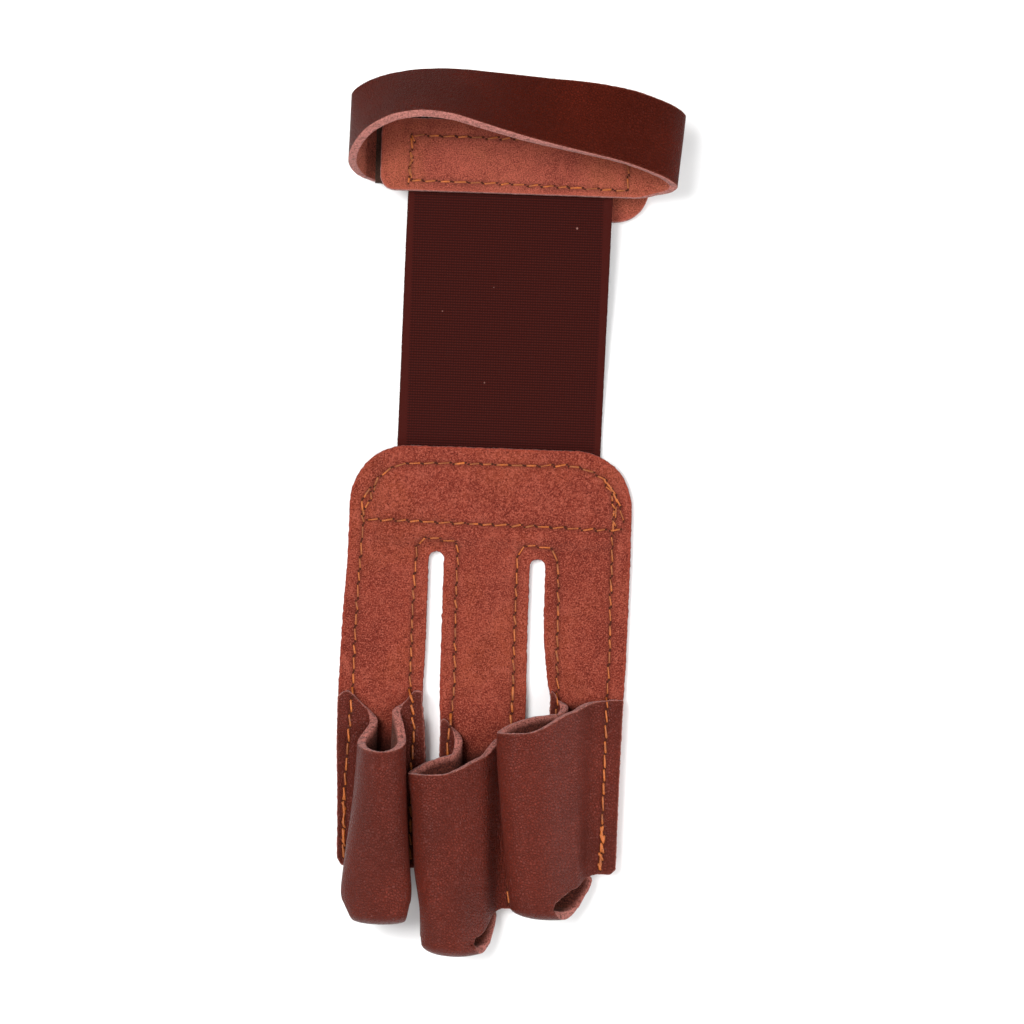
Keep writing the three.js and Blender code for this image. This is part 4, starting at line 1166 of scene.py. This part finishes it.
def dark_tape(name):
    tones = {"Color": tint(colours().tape), "Tip": tint(colours().tape_tip)}
    group = group_named("Tape pile", tape_pile)
    return finish_material(name, group, tones, depth=0.2, Specular_IOR_Level=0.15, Sheen_Weight=0.05)


def twisted_thread(name):
    """Waxed orange thread, in slow patches of paler tone with fine darker specks."""
    colour = colours().thread
    material, tree, surface = new_material(name)
    place = millimetres(tree)
    slow = speckle(tree, place, 0.25, 3)
    fine = speckle(tree, place, 5, 2, 0.6)
    tone = layered(
        tree, shade(colour, 0.62),
        (slow, 0.35, 0.65, 0, 1, shade(colour, 1.25)),
        (fine, 0.34, 0.56, 0.75, 0, shade(colour, 0.28)),
    )
    rough = between(tree, fine, 0.3, 0.7, 0.42, 0.62)
    feed(tree, surface, {"Base Color": tone, "Roughness": rough, "Normal": relief_of(tree, fine, 0.04)})
    return material


# Needle holes: flat dark discs, painted shade where the holes sink into the leather.
def needle_hole(name):
    material, tree, surface = new_material(name)
    crumb = speckle(tree, millimetres(tree), 6, 2)
    tone = blend(tree, crumb, (0.02, 0.006, 0.004, 1), (0.07, 0.018, 0.01, 1))
    feed(tree, surface, {"Base Color": tone, "Roughness": 1, "Specular IOR Level": 0.1})
    return material


def table_white(name):
    material, tree, surface = new_material(name)
    cloud = speckle(tree, millimetres(tree), 0.02, 3)
    tone = blend(tree, cloud, (0.86, 0.86, 0.86, 1), (0.9, 0.9, 0.9, 1))
    feed(tree, surface, {"Base Color": tone, "Roughness": 0.9})
    return material


MATERIALS = {
    "Stall leather": lambda name: smooth_leather(name, colours().grain, 0.17),
    "Strap leather": lambda name: smooth_leather(name, colours().strap_grain, 0.03),
    "Panel suede": lambda name: napped(name, colours().suede, tint(colours().suede_light), 1.0),
    "Strap suede": lambda name: napped(name, colours().strap_suede, shade(colours().strap_suede, 1.6), 1.15),
    "Stall lining": shaded_stall_lining,
    "Panel edge": lambda name: crumbly(name, shade(colours().suede, 1.15)),
    "Strap cut edge": lambda name: crumbly(name, colours().cut_edge, 0.42),
    "Stall cut edge": lambda name: crumbly(name, colours().stall_edge, 0.2),
    "Elastic weave": elastic_weave,
    "Dark tape": dark_tape,
    "Orange thread": twisted_thread,
    "Needle hole": needle_hole,
    "Table white": table_white,
}


def materials(*names):
    """The named materials, each made once."""
    return [bpy.data.materials.get(name) or MATERIALS[name](name) for name in names]


def thread_seam(name, seams, tops, start_height, pitch, seed):
    """Stitches of twisted thread along the seams, each between two needle holes shown as dark discs of
    painted shade.
    """
    verts, faces, kinds = [], [], []
    random = np.random.default_rng(seed)

    def surface(x, y):
        hit = tops.ray_cast(Vector((x, y, start_height)), Vector((0, 0, -1)))[0]
        if hit is None:
            raise RuntimeError(f"{name}: no leather under the seam at {x:.1f}, {y:.1f}")
        return np.array(hit)

    def tube(path, radius):
        rings, sides = len(path), THREAD_SIDES
        start = len(verts)
        run = 0
        for n, p in enumerate(path):
            ahead = path[min(n + 1, rings - 1)] - path[max(n - 1, 0)]
            ahead = ahead / np.linalg.norm(ahead)
            side = np.cross(ahead, (0, 0, 1))
            side /= np.linalg.norm(side)
            over = np.cross(side, ahead)
            run += 0 if n == 0 else np.linalg.norm(p - path[n - 1])
            thin = THREAD_TAPER if n in (0, rings - 1) else 1
            for s in range(sides):
                angle = 2 * math.pi * s / sides
                r = radius * thin * (1 + TWIST_DEPTH * math.cos(2 * (angle - THREAD_TWIST * run)))
                verts.append(p + r * (math.cos(angle) * side + THREAD_FLATNESS * math.sin(angle) * over))
        for n in range(rings - 1):
            for s in range(sides):
                a, b = start + n * sides + s, start + n * sides + (s + 1) % sides
                faces.append((a, b, b + sides, a + sides))
                kinds.append(0)
        faces.append(tuple(range(start + sides - 1, start - 1, -1)))
        faces.append(tuple(range(start + (rings - 1) * sides, start + rings * sides)))
        kinds.extend((0, 0))

    # A flat dark disc just over the leather: painted shade of a needle hole.
    def hole(p, along):
        start, sides = len(verts), HOLE_SIDES
        side = np.array([-along[1], along[0], 0])
        for s in range(sides):
            angle = 2 * math.pi * s / sides
            spot = p + HOLE_SIZE[0] * math.cos(angle) * along + HOLE_SIZE[1] * math.sin(angle) * side
            verts.append(np.array([spot[0], spot[1], p[2] + HOLE_RISE]))
        faces.append(tuple(range(start, start + sides)))
        kinds.append(1)

    for label, corners in seams.items():
        lock = label.endswith("lock")
        steps = np.linspace(0, 1, SEAM_STEPS * len(corners))
        dense = catmull_rom(np.array([(x, y, 0) for x, y in corners]), steps)
        lengths = np.concatenate([[0], np.cumsum(np.linalg.norm(np.diff(dense, axis=0), axis=1))])
        step = pitch * (LOCK_PITCH if lock else 1)
        count = max(2, round(lengths[-1] / step))
        stops = np.linspace(0, lengths[-1], count + 1)
        stops[1:-1] += random.uniform(-HOLE_SCATTER, HOLE_SCATTER, count - 1) * step
        holes = [np.array([np.interp(s, lengths, dense[:, k]) for k in range(2)]) for s in stops]
        for n, (a, b) in enumerate(zip(holes[:-1], holes[1:])):
            along = (b - a) / np.linalg.norm(b - a)
            side = np.array([-along[1], along[0]])
            zigzag = LOCK_SLANT * (-1) ** n if lock else 0
            slant = THREAD_SLANT + random.uniform(-SLANT_SCATTER, SLANT_SCATTER) + zigzag
            on_stall = a[1] < STALL_SEAM_START
            inset = STALL_STITCH_INSET if on_stall else STITCH_INSET
            radius = STALL_THREAD_RADIUS if on_stall else THREAD_RADIUS
            first = a + along * (inset + random.uniform(*INSET_SCATTER)) + side * slant
            last = b - along * (inset + random.uniform(*INSET_SCATTER)) - side * slant
            ends = surface(*first), surface(*last)
            middle = surface(*lerp(first, last, 0.5))
            crown = max(middle[2] - lerp(ends[0][2], ends[1][2], 0.5), 0)
            path = []
            for t, rise in STITCH_RISE:
                x, y = lerp(first, last, t)
                z = lerp(ends[0][2], ends[1][2], t) + rise + crown * math.sin(math.pi * t)
                path.append(np.array([x, y, z]))
            tube(path, radius + random.uniform(-RADIUS_SCATTER, RADIUS_SCATTER))
            for end in ends:
                hole(end, np.array([along[0], along[1], 0]))
    mesh = bpy.data.meshes.new(name)
    mesh.from_pydata((np.array(verts) * MM).tolist(), [], faces)
    mesh.polygons.foreach_set("material_index", kinds)
    mesh.polygons.foreach_set("use_smooth", [kind == 0 for kind in kinds])
    for material in materials("Orange thread", "Needle hole"):
        mesh.materials.append(material)
    mesh.update()
    return mesh


def tops_of(*names):
    """Search tree over the surfaces of the named pieces, in millimetres."""
    verts, faces = [], []
    for name in names:
        mesh = bpy.data.objects[name].data
        start = len(verts)
        verts.extend(tuple(v.co / MM) for v in mesh.vertices)
        faces.extend([start + i for i in p.vertices] for p in mesh.polygons)
    return BVHTree.FromPolygons(verts, faces)


def sizes():
    return bpy.context.scene.glove_sizes


def puckered(points, depth, seams, width=0.75):
    """Leather drawn down along its seams."""
    d = distance_to_lines(points[:, :2], seams)
    return -depth * np.exp(-((d / width) ** 2))


def inside_stalls(points):
    """How far each point of the panel lies inside a stall, from 0 in the open to 1: the mask of painted shade
    in the stalls' hollows, reaching further out of the mouth where the roof edge stands higher.
    """
    deep = np.zeros(len(points))
    marks = np.cumsum(CELLS)
    for stall in STALLS.values():
        roof = []
        for mark, mouth in list(zip(marks, stall["mouth"][1:]))[ROOF_MARKS]:
            x, up = stall_section(stall, mouth)[mark * REFINE]
            if not roof or x > roof[-1][0]:
                roof.append((x, stall_y(stall, mouth), up))
        x, y, up = np.array(roof).T
        edge = np.interp(points[:, 0], x, y)
        start = edge + 0.5 * np.interp(points[:, 0], x, up)
        near = 1 - smoothstep(np.abs(points[:, 0] - stall["strip"]["centre"]), *STRIP_HALF)
        deep = np.maximum(deep, near * smoothstep(start - points[:, 1], 0, start - edge + 1))
    return deep


def length_property(name, description, default, least, most):
    return FloatProperty(
        name=name, description=description, default=default, min=least, max=most, unit="LENGTH", precision=4
    )


def colour_property(name, description, default):
    return FloatVectorProperty(
        name=name, description=description, default=default, subtype="COLOR", size=3, min=0, max=1
    )


class GloveSizes(bpy.types.PropertyGroup):
    panel_leather: length_property("Panel leather", "Thickness of the hand panel", 0.0018, 0.0008, 0.003)
    stall_leather: length_property("Stall leather", "Thickness of the finger stalls", 0.002, 0.0008, 0.003)
    strap_leather: length_property("Strap leather", "Thickness of the wrist strap", 0.002, 0.0008, 0.003)
    elastic_thickness: length_property("Elastic", "Thickness of the elastic band", 0.0012, 0.0006, 0.002)
    stitch_pitch: length_property("Stitch length", "From one needle hole to the next", 0.0036, 0.002, 0.006)


class GloveColours(bpy.types.PropertyGroup):
    grain: colour_property("Stall leather", "Grain side of the finger stalls", (0.116, 0.0163, 0.0088))
    strap_grain: colour_property("Strap leather", "Grain side of the wrist strap", (0.069, 0.0082, 0.0037))
    grain_light: colour_property("Worn leather", "Smooth leather where it is rubbed", (0.19, 0.05, 0.032))
    suede: colour_property("Panel suede", "Napped side of the hand panel", (0.202, 0.0305, 0.0165))
    suede_light: colour_property("Suede flecks", "Raised fibres of the panel's nap", (0.335, 0.077, 0.048))
    strap_suede: colour_property("Strap suede", "Napped inside of the strap", (0.27, 0.062, 0.039))
    # Painted shade: the stalls' lining is darkened far below the panel's suede for the shade inside the
    # stalls.
    shaded_stall_suede: colour_property("Stall lining", "Napped inside of the finger stalls", (0.06, 0.014, 0.009))
    cut_edge: colour_property("Strap's cut edge", "Cut edge of the strap", (0.36, 0.135, 0.112))
    stall_edge: colour_property("Stalls' cut edge", "Cut edge of the finger stalls", (0.34, 0.115, 0.092))
    elastic: colour_property("Elastic", "Woven elastic band", (0.036, 0.0042, 0.0028))
    thread: colour_property("Thread", "Thread of all the seams", (0.4, 0.094, 0.009))
    tape: colour_property("Tape", "Hook and loop tape", (0.036, 0.0165, 0.0105))
    tape_tip: colour_property("Tape's tips", "Tips of the tapes' pile", (0.115, 0.056, 0.038))


class HandPanel(bpy.types.Operator):
    """Add the slotted hand panel, suede side up"""

    bl_idname = "glove.hand_panel"
    bl_label = "Hand panel"
    bl_options = {"REGISTER", "UNDO"}

    def execute(self, context):
        size = sizes()
        lines = list(PANEL_SEAMS.values())

        def relief(points):
            uneven = 0.06 * fuzz(points, 0.22, 3) + 0.035 * fuzz(points, 0.9, 5)
            return uneven + puckered(points, 0.2, lines), np.zeros(len(points))

        sides = materials("Panel suede", "Stall leather", "Panel edge")
        mesh = sheet_mesh(
            "panel_leather_sheet", panel_sheet(size), size.panel_leather / MM, sides, relief, bulge=0.2,
            rim_fray=0.16, seed=2, seams=lines,
        )
        corners = np.array([vertex.co for vertex in mesh.vertices]) / MM
        # The inside measure darkens the suede under the stalls: painted shade.
        add_measure(mesh, "inside", inside_stalls(corners))
        add_piece("panel_leather_sheet", mesh, "panel_leather", "hand_panel")
        return {"FINISHED"}


class FingerStalls(bpy.types.Operator):
    """Add the three folded finger stalls, smooth side out"""

    bl_idname = "glove.finger_stalls"
    bl_label = "Finger stalls"
    bl_options = {"REGISTER", "UNDO"}

    def execute(self, context):
        size = sizes()
        lines = list(PANEL_SEAMS.values())
        level = (size.panel_leather + size.stall_leather / 2) / MM + SEAT_GAP
        sides = materials("Stall leather", "Stall lining", "Stall cut edge")
        for seed, (name, stall) in enumerate(STALLS.items()):

            def relief(points):
                low = points[:, 2] < level + 0.4
                wave = 0.05 * fuzz(points, 0.13, 11 + seed)
                return wave + np.where(low, puckered(points, 0.2, lines), 0), -wave

            mesh = sheet_mesh(
                f"{name}_leather", stall_sheet(stall, size), size.stall_leather / MM, sides, relief,
                bulge=0.16, rim_fray=0.14, seed=20 + seed, seams=lines, seam_top=level + 0.4,
            )
            add_piece(f"{name}_leather", mesh, "stall_leather", name)
        return {"FINISHED"}


class ElasticBand(bpy.types.Operator):
    """Add the ribbed elastic band between the panel and the strap"""

    bl_idname = "glove.elastic_band"
    bl_label = "Elastic band"
    bl_options = {"REGISTER", "UNDO"}

    def execute(self, context):
        size = sizes()

        def relief(points):
            half = ELASTIC_WIDTH / 2
            x = points[:, 0] - ELASTIC_OFFSET - ELASTIC_DRIFT / 2
            border = smoothstep(np.abs(x), half - 2, half - 1.5)
            rib = 0.035 * np.cos(2 * math.pi * points[:, 1] / RIB_PITCH) * (1 - 0.7 * border)
            wave = 0.04 * fuzz(points, 0.08, 9) - 0.06 * np.exp(-(((np.abs(x) - half + 1.7) / 0.22) ** 2))
            return rib + wave, rib - wave

        sides = 3 * materials("Elastic weave")
        mesh = sheet_mesh(
            "elastic_webbing", elastic_sheet(size), size.elastic_thickness / MM, sides, relief, bulge=0.2,
            rim_fray=0.04, seed=5,
        )
        band = add_piece("elastic_webbing", mesh, "elastic", "elastic_band")
        return {"FINISHED"}


class WristStrap(bpy.types.Operator):
    """Add the closed wrist strap, a leaning loop of leather"""

    bl_idname = "glove.wrist_strap"
    bl_label = "Wrist strap"
    bl_options = {"REGISTER", "UNDO"}

    def execute(self, context):
        size = sizes()
        lines = list(STRAP_SEAMS.values())
        level = closure_levels(size)["start"]

        def relief(points):
            low = np.abs(points[:, 2] - level) < 1
            wave = 0.06 * fuzz(points, 0.1, 31)
            nap = 0.05 * fuzz(points, 0.6, 33)
            return wave, nap - wave + np.where(low, puckered(points, 0.22, lines), 0)

        sides = materials("Strap leather", "Strap suede", "Strap cut edge")
        mesh = sheet_mesh(
            "wrist_strap_leather", strap_sheet(size), size.strap_leather / MM, sides, relief, bulge=0.18,
            rim_fray=0.1, seed=41, seams=lines, seam_top=level + 0.6,
        )
        add_piece("wrist_strap_leather", mesh, "strap_leather", "wrist_strap")
        return {"FINISHED"}


class ClosureTapes(bpy.types.Operator):
    """Add the hook and the loop tape between the strap's ends"""

    bl_idname = "glove.closure_tapes"
    bl_label = "Closure tapes"
    bl_options = {"REGISTER", "UNDO"}

    def execute(self, context):
        levels = closure_levels(sizes())
        last = STRAP_ARCH[-1]
        free_x = LOOP_OFFSET + last["across"] * LOOP_WIDTH / 2
        fall = (HOOK_OFFSET - free_x) * math.tan(math.radians(FREE_END_SLANT))
        hook_y = STRAP_MIDDLE + last["along"] * STRAP_WIDTH - fall
        loop_y = STRAP_MIDDLE + LOOP_PATCH_RISE
        tapes = (
            ("hook", HOOK_WIDTH, HOOK_LENGTH, FREE_END_SLANT, (HOOK_OFFSET, hook_y), HOOK_THICKNESS),
            ("loop", LOOP_PATCH_WIDTH, LOOP_PATCH_LENGTH, 0, (LOOP_PATCH_OFFSET, loop_y), LOOP_THICKNESS),
        )

        def relief(points):
            tuft = 0.1 * fuzz(points, 1.8, 51) + 0.06 * fuzz(points, 0.7, 52)
            return tuft, tuft * 0.3

        for kind, width, length, slant, middle, thickness in tapes:
            mesh = sheet_mesh(
                f"{kind}_tape_pile", patch_sheet(width, length, levels[kind], slant, middle), thickness,
                3 * materials("Dark tape"), relief, bulge=0.15, rim_fray=0.1, seed=55,
            )
            add_piece(f"{kind}_tape_pile", mesh, f"{kind}_tape", f"{kind}_patch")
        return {"FINISHED"}


class Stitching(bpy.types.Operator):
    """Add the orange seams on the panel, the stalls and the strap"""

    bl_idname = "glove.stitching"
    bl_label = "Stitching"
    bl_options = {"REGISTER", "UNDO"}

    def execute(self, context):
        pitch = sizes().stitch_pitch / MM
        panel = tops_of("panel_leather_sheet", *[f"{name}_leather" for name in STALLS])
        mesh = thread_seam("panel_thread", PANEL_SEAMS, panel, PANEL_SEARCH_HEIGHT, pitch, 61)
        add_piece("panel_thread", mesh, "panel_leather")
        strap = tops_of("wrist_strap_leather")
        height = closure_levels(sizes())["start"] + STRAP_SEARCH_RISE
        mesh = thread_seam("strap_thread", STRAP_SEAMS, strap, height, pitch, 62)
        add_piece("strap_thread", mesh, "strap_leather")
        return {"FINISHED"}


class Studio(bpy.types.Operator):
    """Add the pale table, the soft lights and the camera above the glove"""

    bl_idname = "glove.studio"
    bl_label = "Studio"
    bl_options = {"REGISTER", "UNDO"}

    def execute(self, context):
        scene = context.scene
        mesh = bpy.data.meshes.new("table_top")
        corners = [(x * TABLE_HALF, y * TABLE_HALF, 0) for x, y in ((-1, -1), (1, -1), (1, 1), (-1, 1))]
        mesh.from_pydata(corners, [], [(0, 1, 2, 3)])
        mesh.materials.append(*materials("Table white"))
        table = bpy.data.objects.new("table_top", mesh)
        table.location = (0, 0, TABLE_LEVEL)
        scene.collection.objects.link(table)

        world = bpy.data.worlds.new("Studio world")
        world.use_nodes = True
        sky = world.node_tree.nodes["Background"].inputs
        feed(world.node_tree, sky, {"Color": (1, 1, 1, 1), "Strength": 0.35})
        scene.world = world
        scene.view_settings.view_transform = "Standard"
        for name, where, power, size in LIGHTS:
            lamp = bpy.data.lights.new(name, "AREA")
            lamp.shape = "RECTANGLE"
            lamp.size, lamp.size_y = size
            lamp.energy = power
            light = bpy.data.objects.new(name, lamp)
            light.location = where
            light.rotation_euler = (-Vector(where)).to_track_quat("-Z", "Y").to_euler()
            scene.collection.objects.link(light)

        camera = bpy.data.cameras.new("Camera")
        camera.sensor_width = 36
        camera.lens = CAMERA_LENS
        camera.clip_start = 0.01
        view = bpy.data.objects.new("Camera", camera)
        view.location = CAMERA_PLACE
        view.rotation_euler = (0, 0, math.radians(CAMERA_ROLL))
        scene.collection.objects.link(view)
        scene.camera = view
        return {"FINISHED"}


class GLOVE_PT_pieces(bpy.types.Panel):
    """Sizes, colours and pieces of the glove"""

    bl_idname = "GLOVE_PT_pieces"
    bl_label = "Archery glove"
    bl_space_type = "VIEW_3D"
    bl_region_type = "UI"
    bl_category = "Glove"

    def draw(self, context):
        for group in (context.scene.glove_sizes, context.scene.glove_colours):
            for name in group.__annotations__:
                self.layout.prop(group, name)
        for piece in PIECES:
            self.layout.operator(piece.bl_idname)


PIECES = (HandPanel, ElasticBand, WristStrap, ClosureTapes, FingerStalls, Stitching, Studio)
CLASSES = (GloveSizes, GloveColours) + PIECES + (GLOVE_PT_pieces,)


def register():
    for kind in CLASSES:
        bpy.utils.register_class(kind)
    bpy.types.Scene.glove_sizes = PointerProperty(type=GloveSizes)
    bpy.types.Scene.glove_colours = PointerProperty(type=GloveColours)


def unregister():
    del bpy.types.Scene.glove_sizes
    del bpy.types.Scene.glove_colours
    for kind in reversed(CLASSES):
        bpy.utils.unregister_class(kind)


def main():
    register()
    bpy.ops.glove.studio()
    bpy.ops.glove.hand_panel()
    bpy.ops.glove.elastic_band()
    bpy.ops.glove.wrist_strap()
    bpy.ops.glove.closure_tapes()
    bpy.ops.glove.finger_stalls()
    bpy.ops.glove.stitching()


if __name__ == "__main__":
    main()
